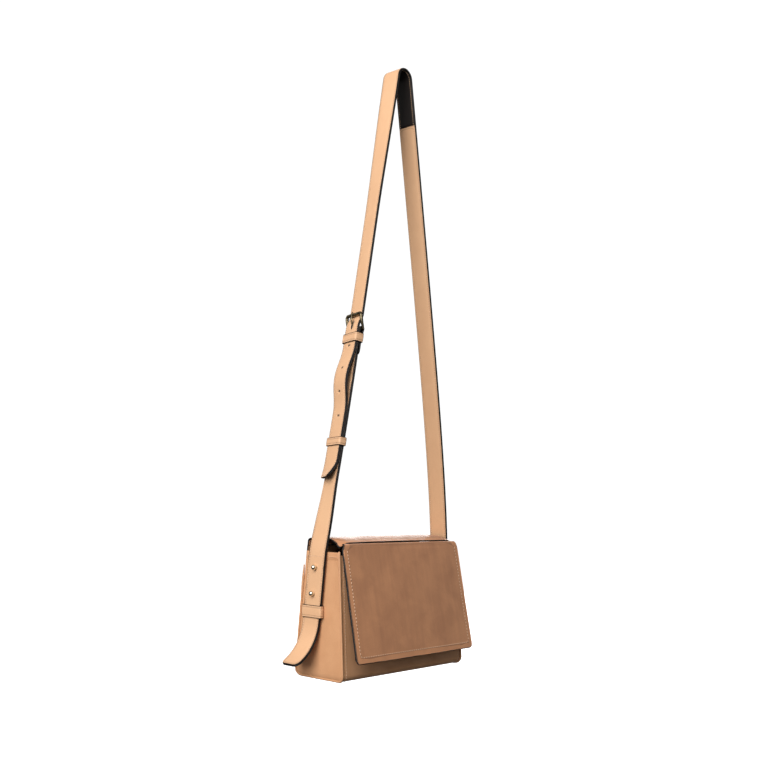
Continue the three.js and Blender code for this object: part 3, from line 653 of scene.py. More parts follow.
class Nodes:
    """A short hand for adding and wiring shader nodes."""

    def __init__(self, tree):
        self.tree = tree

    def add(self, kind, **values):
        node = self.tree.nodes.new(kind)
        for key, value in values.items():
            if key in node.inputs:
                self.put(value, node.inputs[key])
            else:
                setattr(node, key, value)
        return node

    def put(self, value, socket):
        if isinstance(value, bpy.types.NodeSocket):
            self.tree.links.new(value, socket)
        else:
            socket.default_value = value

    def math(self, operation, *values, clamp=False):
        node = self.tree.nodes.new("ShaderNodeMath")
        node.operation = operation
        node.use_clamp = clamp
        for value, socket in zip(values, node.inputs):
            self.put(value, socket)
        return node.outputs[0]

    def mix(self, share, a, b):
        node = self.tree.nodes.new("ShaderNodeMix")
        node.data_type = "RGBA"
        self.put(share, node.inputs["Factor"])
        self.put(a, node.inputs[6])
        self.put(b, node.inputs[7])
        return node.outputs[2]

    def noise(self, vector, scale, detail=3.0, roughness=0.5, distortion=0.0):
        node = self.add("ShaderNodeTexNoise", Vector=vector, Scale=scale, Detail=detail,
                        Roughness=roughness, Distortion=distortion)
        return node.outputs["Fac"]

    def stretch(self, vector, amounts):
        return self.add("ShaderNodeMapping", Vector=vector, Scale=amounts).outputs[0]

    def remap(self, value, low, high, to_low=0.0, to_high=1.0):
        node = self.add("ShaderNodeMapRange", Value=value)
        node.interpolation_type = "SMOOTHSTEP"
        for key, number in (("From Min", low), ("From Max", high), ("To Min", to_low), ("To Max", to_high)):
            self.put(number, node.inputs[key])
        return node.outputs[0]


def new_group(name, inputs, outputs):
    tree = bpy.data.node_groups.new(name, "ShaderNodeTree")
    for label, kind, default in inputs:
        socket = tree.interface.new_socket(label, in_out="INPUT", socket_type=kind)
        if default is not None:
            socket.default_value = default
    for label, kind in outputs:
        tree.interface.new_socket(label, in_out="OUTPUT", socket_type=kind)
    nodes = Nodes(tree)
    return nodes, nodes.add("NodeGroupInput").outputs, nodes.add("NodeGroupOutput").inputs


def grain_group():
    """Fine pores, soft mottling and long streaks of tanned leather."""
    nodes, given, made = new_group(
        "Leather grain",
        [("Vector", "NodeSocketVector", None), ("Pore Scale", "NodeSocketFloat", 900.0),
         ("Mottle Scale", "NodeSocketFloat", 28.0), ("Streak Scale", "NodeSocketFloat", 95.0)],
        [("Height", "NodeSocketFloat"), ("Mottle", "NodeSocketFloat"), ("Streak", "NodeSocketFloat"),
         ("Pores", "NodeSocketFloat")])
    vector = given["Vector"]
    cells = nodes.add("ShaderNodeTexVoronoi", Vector=vector, Scale=given["Pore Scale"])
    cells.feature = "F1"
    pores = nodes.remap(cells.outputs["Distance"], 0.0, 0.55)
    fine = nodes.noise(vector, nodes.math("MULTIPLY", given["Pore Scale"], 1.7), 4.0, 0.65)
    creases = nodes.noise(vector, nodes.math("MULTIPLY", given["Pore Scale"], 0.22), 3.0, 0.6, 0.6)
    height = nodes.math("ADD", nodes.math("MULTIPLY", pores, 0.35), nodes.math("MULTIPLY", fine, 0.3))
    height = nodes.math("ADD", height, nodes.math("MULTIPLY", creases, 0.7))
    nodes.put(height, made["Height"])
    nodes.put(pores, made["Pores"])
    large = nodes.noise(vector, given["Mottle Scale"], 4.0, 0.55, 0.4)
    nodes.put(nodes.remap(large, 0.32, 0.68), made["Mottle"])
    drawn = nodes.stretch(vector, (1.0, 0.06, 1.0))
    streak = nodes.noise(drawn, given["Streak Scale"], 4.0, 0.6, 0.3)
    nodes.put(nodes.remap(streak, 0.25, 0.8), made["Streak"])
    return nodes.tree


def edge_group():
    """How worn or burnished the leather is near its cut edge, how far the edge paint creeps onto it, the painted
    shade along the stitch groove and a paler band along the border, from the distance to the edge.
    """
    nodes, given, made = new_group(
        "Edge burnish and stitch shade",
        [("Vector", "NodeSocketVector", None), ("Reach", "NodeSocketFloat", 2.5),
         ("Seam Inset", "NodeSocketFloat", 2.6)],
        [("Burnish", "NodeSocketFloat"), ("Paint Creep", "NodeSocketFloat"), ("Seam", "NodeSocketFloat"),
         ("Border", "NodeSocketFloat")])
    distance = nodes.add("ShaderNodeAttribute", attribute_name="edge_distance").outputs["Fac"]
    ragged = nodes.noise(given["Vector"], 420.0, 3.0, 0.6)
    wander = nodes.math("ADD", distance, nodes.math("MULTIPLY", nodes.math("SUBTRACT", ragged, 0.5), 1.6))
    nodes.put(nodes.remap(nodes.math("DIVIDE", wander, given["Reach"]), 0.0, 1.0, 1.0, 0.0), made["Burnish"])
    nodes.put(nodes.remap(wander, 0.25, 0.75, 1.0, 0.0), made["Paint Creep"])
    past = nodes.math("SUBTRACT", distance, given["Seam Inset"])
    # Seam: painted shade along the stitch groove, strongest right on the stitch line
    nodes.put(nodes.remap(nodes.math("ABSOLUTE", past), 0.25, 0.95, 1.0, 0.0), made["Seam"])
    nodes.put(nodes.remap(past, -1.2, 0.6, 1.0, 0.0), made["Border"])
    return nodes.tree


def weave_group():
    """Plain weave of warp and weft."""
    nodes, given, made = new_group(
        "Plain weave",
        [("Vector", "NodeSocketVector", None), ("Threads", "NodeSocketFloat", 2200.0)],
        [("Height", "NodeSocketFloat"), ("Thread Mask", "NodeSocketFloat")])
    scaled = nodes.add("ShaderNodeVectorMath", operation="SCALE")
    nodes.put(given["Vector"], scaled.inputs[0])
    nodes.put(given["Threads"], scaled.inputs["Scale"])
    parts = nodes.add("ShaderNodeSeparateXYZ", Vector=scaled.outputs[0]).outputs
    across = nodes.math("SINE", nodes.math("ADD", parts[0], parts[1]))
    along = nodes.math("SINE", nodes.math("ADD", parts[2], nodes.math("MULTIPLY", parts[1], 0.35)))
    checker = nodes.math("MULTIPLY", across, along)
    nodes.put(nodes.math("MULTIPLY_ADD", checker, 0.5, 0.5), made["Height"])
    loose = nodes.noise(given["Vector"], nodes.math("MULTIPLY", given["Threads"], 0.3), 2.0)
    nodes.put(nodes.math("MULTIPLY", nodes.math("MULTIPLY_ADD", checker, 0.5, 0.5), loose), made["Thread Mask"])
    return nodes.tree


def tarnish_group():
    """Patches of tarnish and fine hairline scratches on metal."""
    nodes, given, made = new_group(
        "Metal tarnish",
        [("Vector", "NodeSocketVector", None), ("Patch Scale", "NodeSocketFloat", 180.0),
         ("Amount", "NodeSocketFloat", 0.5)],
        [("Tarnish", "NodeSocketFloat"), ("Scratches", "NodeSocketFloat")])
    patches = nodes.noise(given["Vector"], given["Patch Scale"], 5.0, 0.65, 0.5)
    low = nodes.math("SUBTRACT", 0.75, nodes.math("MULTIPLY", given["Amount"], 0.5))
    node = nodes.add("ShaderNodeMapRange", Value=patches)
    nodes.put(nodes.math("SUBTRACT", low, 0.12), node.inputs["From Min"])
    nodes.put(nodes.math("ADD", low, 0.12), node.inputs["From Max"])
    nodes.put(node.outputs[0], made["Tarnish"])
    drawn = nodes.stretch(given["Vector"], (1.0, 1.0, 0.04))
    lines = nodes.noise(drawn, 2600.0, 2.0, 0.5)
    nodes.put(nodes.remap(lines, 0.62, 0.72), made["Scratches"])
    return nodes.tree


GROUP_MAKERS = {
    "Leather grain": grain_group,
    "Edge burnish and stitch shade": edge_group,
    "Plain weave": weave_group,
    "Metal tarnish": tarnish_group,
}


def placed_group(nodes, name, **values):
    tree = bpy.data.node_groups.get(name) or GROUP_MAKERS[name]()
    node = nodes.tree.nodes.new("ShaderNodeGroup")
    node.node_tree = tree
    for key, value in values.items():
        nodes.put(value, node.inputs[key.replace("_", " ")])
    return node.outputs


# ---------------------------------------------------------------- finishes


def new_material(name):
    material = bpy.data.materials.new(name)
    material.use_nodes = True
    nodes = Nodes(material.node_tree)
    shader = material.node_tree.nodes["Principled BSDF"]
    coordinates = nodes.add("ShaderNodeTexCoord").outputs
    return material, nodes, shader, coordinates


def rgba(colour, scale=1.0):
    return (*[channel * scale for channel in colour], 1.0)


def leather_material(name, pale, deep, streak_share, mottle_share, roughness=0.5, creep=0.0, seam=None, border=0.0):
    material, nodes, shader, coordinates = new_material(name)
    vector = coordinates["UV"]
    grain = placed_group(nodes, "Leather grain", Vector=vector)
    edge = placed_group(nodes, "Edge burnish and stitch shade", Vector=vector, Seam_Inset=seam or 2.6)
    share = nodes.math("ADD", nodes.math("MULTIPLY", grain["Mottle"], mottle_share),
                       nodes.math("MULTIPLY", grain["Streak"], streak_share), clamp=True)
    colour = nodes.mix(share, rgba(pale), rgba(deep))
    pores = nodes.math("MULTIPLY", nodes.math("SUBTRACT", 1.0, grain["Pores"]), 0.16)
    colour = nodes.mix(pores, colour, rgba(deep, 0.6))
    colour = nodes.mix(nodes.math("MULTIPLY", edge["Border"], border), colour, rgba(pale, 1.25))
    colour = nodes.mix(nodes.math("MULTIPLY", edge["Burnish"], 0.2), colour, rgba(deep, 0.75))
    if seam:
        # painted shade along the stitch groove, darker leather on the stitch line
        colour = nodes.mix(nodes.math("MULTIPLY", edge["Seam"], 0.45), colour, rgba(deep, 0.45))
    if creep:
        finishes = bpy.context.scene.bag_finishes
        colour = nodes.mix(nodes.math("MULTIPLY", edge["Paint Creep"], creep), colour, rgba(finishes.edge))
    nodes.put(colour, shader.inputs["Base Color"])
    rough = nodes.math("MULTIPLY_ADD", grain["Mottle"], 0.10, roughness)
    rough = nodes.math("SUBTRACT", rough, nodes.math("MULTIPLY", edge["Burnish"], 0.10))
    nodes.put(rough, shader.inputs["Roughness"])
    shader.inputs["Specular IOR Level"].default_value = 0.5
    shader.inputs["Sheen Weight"].default_value = 0.08
    shader.inputs["Sheen Roughness"].default_value = 0.5
    bump = nodes.add("ShaderNodeBump", Height=grain["Height"], Strength=0.35, Distance=0.00025)
    nodes.put(bump.outputs[0], shader.inputs["Normal"])
    return material


def edge_paint_material(name, colour):
    material, nodes, shader, coordinates = new_material(name)
    vector = coordinates["UV"]
    worn = nodes.noise(vector, 700.0, 4.0, 0.65)
    rub = nodes.remap(worn, 0.62, 0.78, 0.0, 0.55)
    nodes.put(nodes.mix(rub, rgba(colour), (0.09, 0.045, 0.025, 1)), shader.inputs["Base Color"])
    nodes.put(nodes.remap(worn, 0.3, 0.7, 0.4, 0.55), shader.inputs["Roughness"])
    shader.inputs["Specular IOR Level"].default_value = 0.25
    bump = nodes.add("ShaderNodeBump", Height=worn, Strength=0.25, Distance=0.0003)
    nodes.put(bump.outputs[0], shader.inputs["Normal"])
    return material


def cloth_material(name, colour):
    material, nodes, shader, coordinates = new_material(name)
    weave = placed_group(nodes, "Plain weave", Vector=coordinates["Object"])
    nodes.put(nodes.mix(weave["Thread Mask"], rgba(colour, 0.6), rgba(colour, 2.2)), shader.inputs["Base Color"])
    nodes.put(nodes.remap(weave["Thread Mask"], 0.0, 0.6, 0.95, 0.8), shader.inputs["Roughness"])
    shader.inputs["Specular IOR Level"].default_value = 0.2
    bump = nodes.add("ShaderNodeBump", Height=weave["Height"], Strength=0.4, Distance=0.0002)
    nodes.put(bump.outputs[0], shader.inputs["Normal"])
    return material


def thread_material(name, colour):
    material, nodes, shader, coordinates = new_material(name)
    fibres = nodes.noise(nodes.stretch(coordinates["Object"], (1.0, 1.0, 0.4)), 5200.0, 3.0, 0.6)
    nodes.put(nodes.mix(nodes.remap(fibres, 0.3, 0.7), rgba(colour, 1.15), rgba(colour, 0.6)),
              shader.inputs["Base Color"])
    nodes.put(nodes.remap(fibres, 0.3, 0.7, 0.6, 0.8), shader.inputs["Roughness"])
    bump = nodes.add("ShaderNodeBump", Height=fibres, Strength=0.5, Distance=0.0001)
    nodes.put(bump.outputs[0], shader.inputs["Normal"])
    return material


def metal_material(name, colour, tarnished, amount, roughness):
    material, nodes, shader, coordinates = new_material(name)
    tarnish = placed_group(nodes, "Metal tarnish", Vector=coordinates["Object"], Amount=amount)
    nodes.put(nodes.mix(tarnish["Tarnish"], rgba(colour), rgba(tarnished)), shader.inputs["Base Color"])
    rough = nodes.math("MULTIPLY_ADD", tarnish["Tarnish"], 0.22, roughness)
    rough = nodes.math("ADD", rough, nodes.math("MULTIPLY", tarnish["Scratches"], 0.12))
    nodes.put(rough, shader.inputs["Roughness"])
    shader.inputs["Metallic"].default_value = 1.0
    bump = nodes.add("ShaderNodeBump", Height=tarnish["Scratches"], Strength=0.1, Distance=0.0001)
    nodes.put(bump.outputs[0], shader.inputs["Normal"])
    return material


def board_material(name):
    material, nodes, shader, coordinates = new_material(name)
    fibres = nodes.noise(nodes.stretch(coordinates["Object"], (0.3, 1.0, 1.0)), 900.0, 5.0, 0.7)
    nodes.put(nodes.mix(fibres, (0.16, 0.145, 0.125, 1), (0.32, 0.3, 0.27, 1)), shader.inputs["Base Color"])
    nodes.put(nodes.remap(fibres, 0.2, 0.8, 0.8, 0.95), shader.inputs["Roughness"])
    bump = nodes.add("ShaderNodeBump", Height=fibres, Strength=0.3, Distance=0.0003)
    nodes.put(bump.outputs[0], shader.inputs["Normal"])
    return material


FINISH_MAKERS = {
    "natural leather": lambda c: leather_material("natural leather", c.natural, c.natural_deep, 0.15, 0.45),
    "strap leather": lambda c: leather_material(
        "strap leather", c.strap, c.strap_deep, 0.1, 0.3, creep=0.5, seam=2.6),
    "flap leather": lambda c: leather_material(
        "flap leather", c.flap, c.flap_deep, 0.4, 0.5, roughness=0.42, creep=0.6, seam=FLAP_SEAM, border=0.3),
    "edge paint": lambda c: edge_paint_material("edge paint", c.edge),
    "lining cloth": lambda c: cloth_material("lining cloth", c.cloth),
    "tan thread": lambda c: thread_material("tan thread", c.thread),
    "antique brass": lambda c: metal_material(
        "antique brass", c.dark_brass, (0.05, 0.04, 0.025), 0.55, 0.3),
    "pale brass": lambda c: metal_material("pale brass", c.pale_brass, (0.4, 0.33, 0.22), 0.15, 0.16),
    "plated steel": lambda c: metal_material(
        "plated steel", (0.55, 0.55, 0.54), (0.3, 0.3, 0.29), 0.25, 0.3),
    "fibre board": lambda c: board_material("fibre board"),
}


def finish(name):
    return bpy.data.materials.get(name) or FINISH_MAKERS[name](bpy.context.scene.bag_finishes)


def painted(face, inner=None):
    return [finish(face), finish("edge paint"), finish(inner or face)]


# ---------------------------------------------------------------- placing pieces


def stand_for(slot, nodes):
    if nodes:
        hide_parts(*nodes)


def on_body(piece, body, slot, *nodes):
    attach(piece, body)
    stand_for(slot, nodes)


def bent(piece, bodies, ends, slot, *nodes):
    """Bakes the piece's placement into its mesh and hides the frame's nodes that it stands for."""
    start, end = [tuple(np.asarray(place, float) * MM) for place in ends]
    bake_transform(piece)
    stand_for(slot, nodes)


def across_hem(piece, slot, *nodes):
    bent(piece, ("strap", "pouch"), HEM_BLEND, slot, *nodes)


# ---------------------------------------------------------------- pouch


def half_depth(z, bag):
    """Half the pouch's depth, front to back, at a height."""
    share = (z - BASE_Z) / (HEM_Z - BASE_Z)
    return mm(bag.base_depth + (bag.mouth_depth - bag.base_depth) * share) / 2


def wall_path(bag, offset, front_top, back_top):
    """The pouch's front, base and back seen from the side, a distance inside its outer face."""
    radius = mm(bag.base_radius) - offset
    low = BASE_Z + offset
    turns = np.linspace(0, math.pi / 2, 7)
    half = half_depth(BASE_Z + mm(bag.base_radius), bag) - offset
    front = [(-(half - radius + radius * math.cos(t)), low + radius - radius * math.sin(t)) for t in turns]
    back = [(-y, z) for y, z in reversed(front)]
    top_front = (-(half_depth(front_top, bag) - offset), front_top)
    top_back = (half_depth(back_top, bag) - offset, back_top)
    rise = np.linspace(0, 1, 16)[:-1]
    down = [tuple(np.array(top_front) * (1 - r) + np.array(front[0]) * r) for r in rise]
    up = [tuple(np.array(top_back) * (1 - r) + np.array(back[-1]) * r) for r in rise]
    base = [tuple(np.array(front[-1]) * (1 - r) + np.array(back[0]) * r) for r in np.linspace(0, 1, 10)[1:-1]]
    return np.array(down + front + base + back + up[::-1])


BELLY, BELLY_HEIGHT = 1.1, 140


def belly_at(share, z):
    """How far the front and back swell out, at a share of the half-width and a height."""
    return BELLY * (1 - share ** 2) * np.sin(math.pi * np.clip((z - BASE_Z) / BELLY_HEIGHT, 0, 1))


def softness(x, z, seed):
    """Small slow waves of a used leather panel."""
    return (math.sin(x * 0.031 + seed) * math.sin(z * 0.043 + 1.7 * seed)
            + 0.5 * math.sin(x * 0.071 - 2.1 * seed + z * 0.023))


def tuck(z):
    """How far the pouch's ends draw in towards the base, for soft lower corners."""
    low = min(1.0, max(0.0, (z - BASE_Z) / 9))
    return 3.6 * (1 - math.sqrt(low * (2 - low)))


class SLINGBAG_OT_pouch(Operator):
    """Front, base, back, gussets and their corner seams"""

    bl_idname = "slingbag.pouch"
    bl_label = "Pouch leather"

    def execute(self, context):
        bag = context.scene.bag_sizes
        self.body(bag)
        for side, name in ((-1, "left"), (1, "right")):
            self.gusset(bag, side, name)
            self.welt(bag, side, name)
        self.sewing(bag)
        return {"FINISHED"}

    def body(self, bag):
        thick = mm(bag.leather)
        path = wall_path(bag, thick / 2, HEM_Z - 4, BODY_HIGH[2])
        tangent = unit(np.gradient(path, axis=0))
        half = BODY_HIGH[0] - 1.3
        shares = np.array([-1, -0.985, -0.965, -0.94, -0.9, -0.8, -0.65, -0.45, -0.22, 0])
        shares = np.concatenate([shares, -shares[-2::-1]])
        grid, outward = [], []
        for (y, z), t in zip(path, tangent):
            normal = np.array([0, t[1], -t[0]])
            row = []
            for share in shares:
                x = share * (half - tuck(z))
                wall = min(1.0, max(0.0, (z - BASE_Z - 6) / 20))
                soft = 0.35 * softness(x, z, 0.6) * wall * (1 - share ** 4)
                sink = -0.9 * float(smoothstep(abs(share), 0.955, 1.0))
                row.append(np.array([x, y, z]) + normal * (soft + belly_at(share, z) * wall + sink))
            grid.append(row)
            outward.append([normal] * len(shares))
        piece = leather_sheet("body_leather_shell", grid, thick,
                              painted("natural leather"), outward)
        on_body(piece, "pouch", "body_leather", "body_wrap")

    def gusset(self, bag, side, name):
        thick = mm(bag.leather)
        heights = np.concatenate([
            BASE_Z + np.array([0.9, 2.0, 3.5, 5.5, 8.0]),
            np.linspace(BASE_Z + 14, HEM_Z - 12, 16), HEM_Z + np.array([-9.9, -9.2, -8.7, -6.0, -3.4, -2.3, -1.4])])
        shares = np.array([-1, -0.96, -0.9, -0.78, -0.6, -0.35, 0, 0.35, 0.6, 0.78, 0.9, 0.96, 1])
        grid, relief = [], []
        for z in heights:
            corner = mm(bag.base_radius) + 1.0
            rise = min(z - BASE_Z, corner)
            cut_in = corner - math.sqrt(max(0.0, corner ** 2 - (corner - rise) ** 2))
            half = half_depth(z, bag) - 1.2 - cut_in
            row, lift = [], []
            for share in shares:
                y = share * half
                up = (z - BASE_Z) / (HEM_Z - BASE_Z)
                fold = -1.5 * math.exp(-((share + 0.72) / 0.16) ** 2) * float(smoothstep(up, 0.35, 0.8))
                fold -= 1.2 * math.exp(-((share - 0.8) / 0.14) ** 2) * float(smoothstep(up, 0.35, 0.8))
                soft = 0.3 * softness(y * 1.7, z, 2.0 + side)
                edge = -0.5 * float(smoothstep(abs(share), 0.93, 1.0))
                calm = 1 - math.exp(-((y - SETBACK) / 14) ** 4)
                out = thick / 2 - GUSSET_HIGH[0] - tuck(z) + (fold + soft + edge) * calm * up
                row.append([side * out, y, z])
                lift.append(0.55 * float(smoothstep(z, HEM_Z - 9.9, HEM_Z - 8.9)))
            grid.append(row)
            relief.append(lift)
        outward = np.zeros((len(heights), len(shares), 3))
        outward[..., 0] = side
        piece = leather_sheet(f"gusset_leather_{name}", grid, thick,
                              [finish("natural leather")] * 3, outward, relief=np.array(relief))
        on_body(piece, "pouch", "body_leather", f"gusset_{name}")

    def welt(self, bag, side, name):
        path = wall_path(bag, 0.4, HEM_Z - 1.5, HEM_Z - 19)
        path = evenly(smooth_path(path, 1), 3.0)
        x = [side * (BODY_HIGH[0] + 0.1 - tuck(z)) for z in path[:, 1]]
        points = np.stack([x, path[:, 0], path[:, 1]], axis=1)
        run = path_lengths(path)
        wave = 1 + 0.05 * np.sin(run * 0.9)
        radius = mm(bag.welt) * wave * np.minimum(1, 0.55 + (run[-1] - run) / 30)
        piece = tube(f"corner_welt_{name}", points, radius, [finish("natural leather")], sides=14)
        on_body(piece, "pouch", "body_leather")

    def sewing(self, bag):
        rows = []
        seam_x = BODY_HIGH[0] - BODY_SEAM
        for side in (-1, 1):
            path = wall_path(bag, -0.05, HEM_Z - 6, HEM_Z - 3)
            x = [side * (seam_x - tuck(z)) for z in path[:, 1]]
            y, z = path[:, 0], path[:, 1]
            tangent = unit(np.gradient(path, axis=0))
            belly = belly_at(seam_x / BODY_HIGH[0], z)
            normals = np.stack([0 * y, tangent[:, 1], -tangent[:, 0]], axis=1)
            points = np.stack([x, y, z], axis=1) + normals * belly[:, None]
            rows.append((points, normals))
        for side in (-1, 1):
            z = HEM_Z - HEM_SEAM
            half = half_depth(z, bag) - 4
            for a, b in ((-half, SETBACK - STRAP_HALF - 1), (SETBACK + STRAP_HALF + 1, half)):
                points = [[side * (BODY_HIGH[0] + 0.5), y, z] for y in np.linspace(a, b, 4)]
                rows.append((points, [[side, 0, 0]] * 4))
        on_body(sew("body_stitching", rows, 1.15), "pouch", "body_leather")


class SLINGBAG_OT_lining(Operator):
    """Black woven lining inside the pouch"""

    bl_idname = "slingbag.lining"
    bl_label = "Lining"

    def ring(self, bag, inset, z, drop):
        radius = 6.0
        half_x = LINING_HIGH[0] - inset - drop
        half_y = half_depth(z, bag) - 3.6 - inset - drop
        points = []
        for sx, sy, start in ((1, 1, 0), (-1, 1, 90), (-1, -1, 180), (1, -1, 270)):
            for k in range(6):
                turn = math.radians(start + 18 * k)
                points.append([sx * (half_x - radius) + radius * math.cos(turn),
                               sy * (half_y - radius) + radius * math.sin(turn), z])
        walls = []
        for a, b in zip(points, points[1:] + points[:1]):
            walls.append(a)
            gap = math.dist(a, b)
            if gap > 12:
                count = round(gap / 9)
                walls += [[a[0] + (b[0] - a[0]) * k / count, a[1] + (b[1] - a[1]) * k / count, z]
                          for k in range(1, count)]
        return np.array(walls)

    def execute(self, context):
        bag = context.scene.bag_sizes
        floor_z = LINING_LOW[2]
        levels = [(LINING_HIGH[2], 0), *[(z, 0) for z in np.linspace(LINING_HIGH[2] - 6, floor_z + 8, 10)],
                  (floor_z + 4, 0.4), (floor_z + 1.5, 1.6), (floor_z + 0.3, 4.0)]
        rings = []
        for inset, order in ((0.0, levels), (0.8, levels[::-1])):
            for z, drop in order:
                ring = self.ring(bag, 0, z, drop)
                middle = np.array([0, 0, z])
                drape = 0.6 * np.sin(ring[:, 0] * 0.16 + 0.4) * np.sin((z - floor_z) / 140 * math.pi)
                outward = unit((ring - middle) * [1, 1, 0])
                lift = [0, 0, inset if z < floor_z + 5 else 0]
                rings.append(ring - outward * (inset + np.abs(drape))[:, None] + lift)
        count, cap = len(rings[0]), len(levels)
        faces = []
        for i in range(len(rings) - 1):
            if i != cap - 1:
                faces += [quad[::-1] for quad in band(i * count, (i + 1) * count, count)]
        faces.append(tuple(reversed(range((cap - 1) * count, cap * count))))
        faces.append(tuple(range(cap * count, (cap + 1) * count)))
        faces += band(0, (len(rings) - 1) * count, count)
        piece = build_object("pouch_lining", np.concatenate(rings), faces, [finish("lining cloth")])
        on_body(face_outwards(piece), "pouch", "lining_cloth", "lining")
        return {"FINISHED"}


# ---------------------------------------------------------------- flap

LIFT_BLEND = HINGE + [0, 3.5, -6.5], HINGE + [0, -6.5, 3.5]
FOLD_BLEND = CREASE + [0, 5.0, 1.0], CREASE + [0, -1.5, -6.5]


class SLINGBAG_OT_flap(Operator):
    """Flap: top with its sewn back edge, front panel, linings and stitching"""

    bl_idname = "slingbag.flap"
    bl_label = "Flap"

    waist = ANCHOR_HIGH[0]
    wide = FRONT_HIGH[0]

    def execute(self, context):
        bag = context.scene.bag_sizes
        self.top(bag)
        self.front(bag)
        self.sewing(bag)
        return {"FINISHED"}

    def top_profile(self, bag, offset):
        """Side view of the flap's top, from the crease back and down the back, offset inwards."""
        rise = mm(bag.flap_hump)
        y0, z0 = CREASE[1] + 4.2, CREASE[2] + 1.2
        back = half_depth(HEM_Z, bag)
        outline = [(y0, z0), (y0 + 4, z0 + 0.25 * rise), (y0 + 12, z0 + 0.72 * rise), (y0 + 22, z0 + rise),
                   (y0 + 36, z0 + rise + 0.2), (HINGE[1] - 8, z0 + rise - 1.2), (HINGE[1] + 1.4, z0 + rise - 2.2),
                   (back + 2.9, HINGE[2] - 3), (back + 3.1, HINGE[2] - 10),
                   (half_depth(BODY_HIGH[2] - 22, bag) + 1.3, BODY_HIGH[2] - 22)]
        path = evenly(smooth_path(outline, 3), 1.5)
        tangent = unit(np.gradient(path, axis=0))
        normal = np.stack([-tangent[:, 1], tangent[:, 0]], axis=1)
        return path - normal * offset, normal

    def top_half(self, y, z, run):
        near = self.wide - 5 * (1 - math.sqrt(max(0.0, 1 - (1 - min((run + 1.5) / 7, 1)) ** 2)))
        clear = SETBACK - STRAP_HALF - 5
        narrow = float(smoothstep(y, clear - 9, clear)) if z > HINGE[2] - 8 else 1.0
        return near * (1 - narrow) + self.waist * narrow

    def droop(self, x, y, half):
        """The top's sides hang a little near the front corners."""
        inside = half - abs(x)
        near = 1 - float(smoothstep(inside, 0, 15))
        front = 1 - 0.85 * float(smoothstep(y, CREASE[1] + 4, CREASE[1] + 30))
        back = 1 - float(smoothstep(y, HINGE[1] - 14, HINGE[1]))
        return -4.6 * near ** 1.4 * front * back

    def top(self, bag):
        thick = mm(bag.flap_leather)
        shares = np.array([-1, -0.988, -0.97, -0.94, -0.9, -0.84, -0.7, -0.5, -0.25, 0])
        shares = np.concatenate([shares, -shares[-2::-1]])
        for name, offset, layer, inset, materials, slot, nodes in (
            ("flap_top_shell", thick / 2, thick, 0.0, painted("flap leather"), "flap_leather",
             ("flap_top_leather", "flap_anchor")),
            ("flap_top_underside", thick + 0.5, 0.9, 1.2, [finish("lining cloth")] * 3, "lining_cloth",
             ("flap_top_lining",)),
        ):
            path, normal = self.top_profile(bag, offset)
            run = path_lengths(path)
            keep = run < run[-1] - 0.1
            if inset:
                keep = (run > 2.5) & (path[:, 0] < HINGE[1] - 5) & (run < 70)
            grid, outward = [], []
            for (y, z), n, r in zip(path[keep], normal[keep], run[keep]):
                half = self.top_half(y, z, r) - inset
                corner = min(run[-1] - r, 5) if not inset else 5
                half -= 5 - math.sqrt(max(0, 25 - (5 - corner) ** 2))
                row = []
                for share in shares:
                    x = share * half
                    soft = 0.5 * softness(x, y * 3, 1.3) * (1 - abs(share) ** 3)
                    soft *= float(smoothstep(r, 1, 14)) * (1 - float(smoothstep(y, HINGE[1] - 12, HINGE[1])))
                    lip = 0.7 * (1 - share ** 2) * (1 - float(smoothstep(r, 2, 22)))
                    row.append([x, y, z + self.droop(x, y, half) + soft + lip])
                grid.append(row)
                outward.append([[0, n[0], n[1]]] * len(shares))
            piece = leather_sheet(name, grid, layer, materials, outward)
            if inset:
                on_body(piece, "flap_top", slot, *nodes)
            else:
                bent(piece, ("pouch", "flap_top"), LIFT_BLEND, slot, *nodes)

    def front_profile(self, offset):
        """Side view of the flap's front from under the crease, over the roll and down, offset inwards."""
        lean = math.atan2(CREASE[1] - FRONT_LOW[1], CREASE[2] - FRONT_LOW[2])
        down = np.array([-math.sin(lean), -math.cos(lean)])
        start = np.array([CREASE[1], CREASE[2]]) + np.array([-0.6, -3.2])
        foot = np.array([FRONT_LOW[1] + 0.1, FRONT_LOW[2] + 0.2])
        y, z = CREASE[1:]
        outline = [(y + 8.5, z - 0.4), (y + 5, z + 0.2), (y + 1.6, z + 0.3),
                   tuple(start + np.array([0.2, 2.2])), tuple(start + down * 3), tuple(start + down * 12)]
        for share in np.linspace(0.15, 1, 9):
            outline.append(tuple(start * (1 - share) + foot * share))
        path = evenly(smooth_path(outline, 3), 2.0)
        tangent = unit(np.gradient(path, axis=0))
        normal = np.stack([tangent[:, 1], -tangent[:, 0]], axis=1)
        return path - normal * offset, normal

    def front_half(self, run, total, bag, inset):
        corner = mm(bag.flap_corner)
        top = 6 * (1 - math.sqrt(max(0.0, 1 - (1 - min(max(run - 6.5, 0) / 11, 1)) ** 2)))
        low = total - run - inset
        bottom = corner - math.sqrt(max(0.0, corner ** 2 - max(0.0, corner - low) ** 2))
        return self.wide - top - bottom - inset

    def front_places(self, total, inset):
        places = list(np.concatenate([
            np.arange(0, 14, 1.2), np.linspace(15, total - 12, 34),
            total - np.array([9, 7, 5.6, 4.4, 3.2, 2.2, 1.3, 0.6, 0])]))
        return [p for p in places if p <= total - inset] if inset else places

    def bow(self, x, share):
        """How far the front stands off a flat panel."""
        edge = abs(x) / self.wide
        swell = 0.9 * (1 - edge ** 2) * math.sin(math.pi * share)
        slack = 0.35 * softness(x, share * 140, 2.7) * math.sin(math.pi * min(share * 1.4, 1))
        return swell + slack - 0.8 * edge ** 6 * share

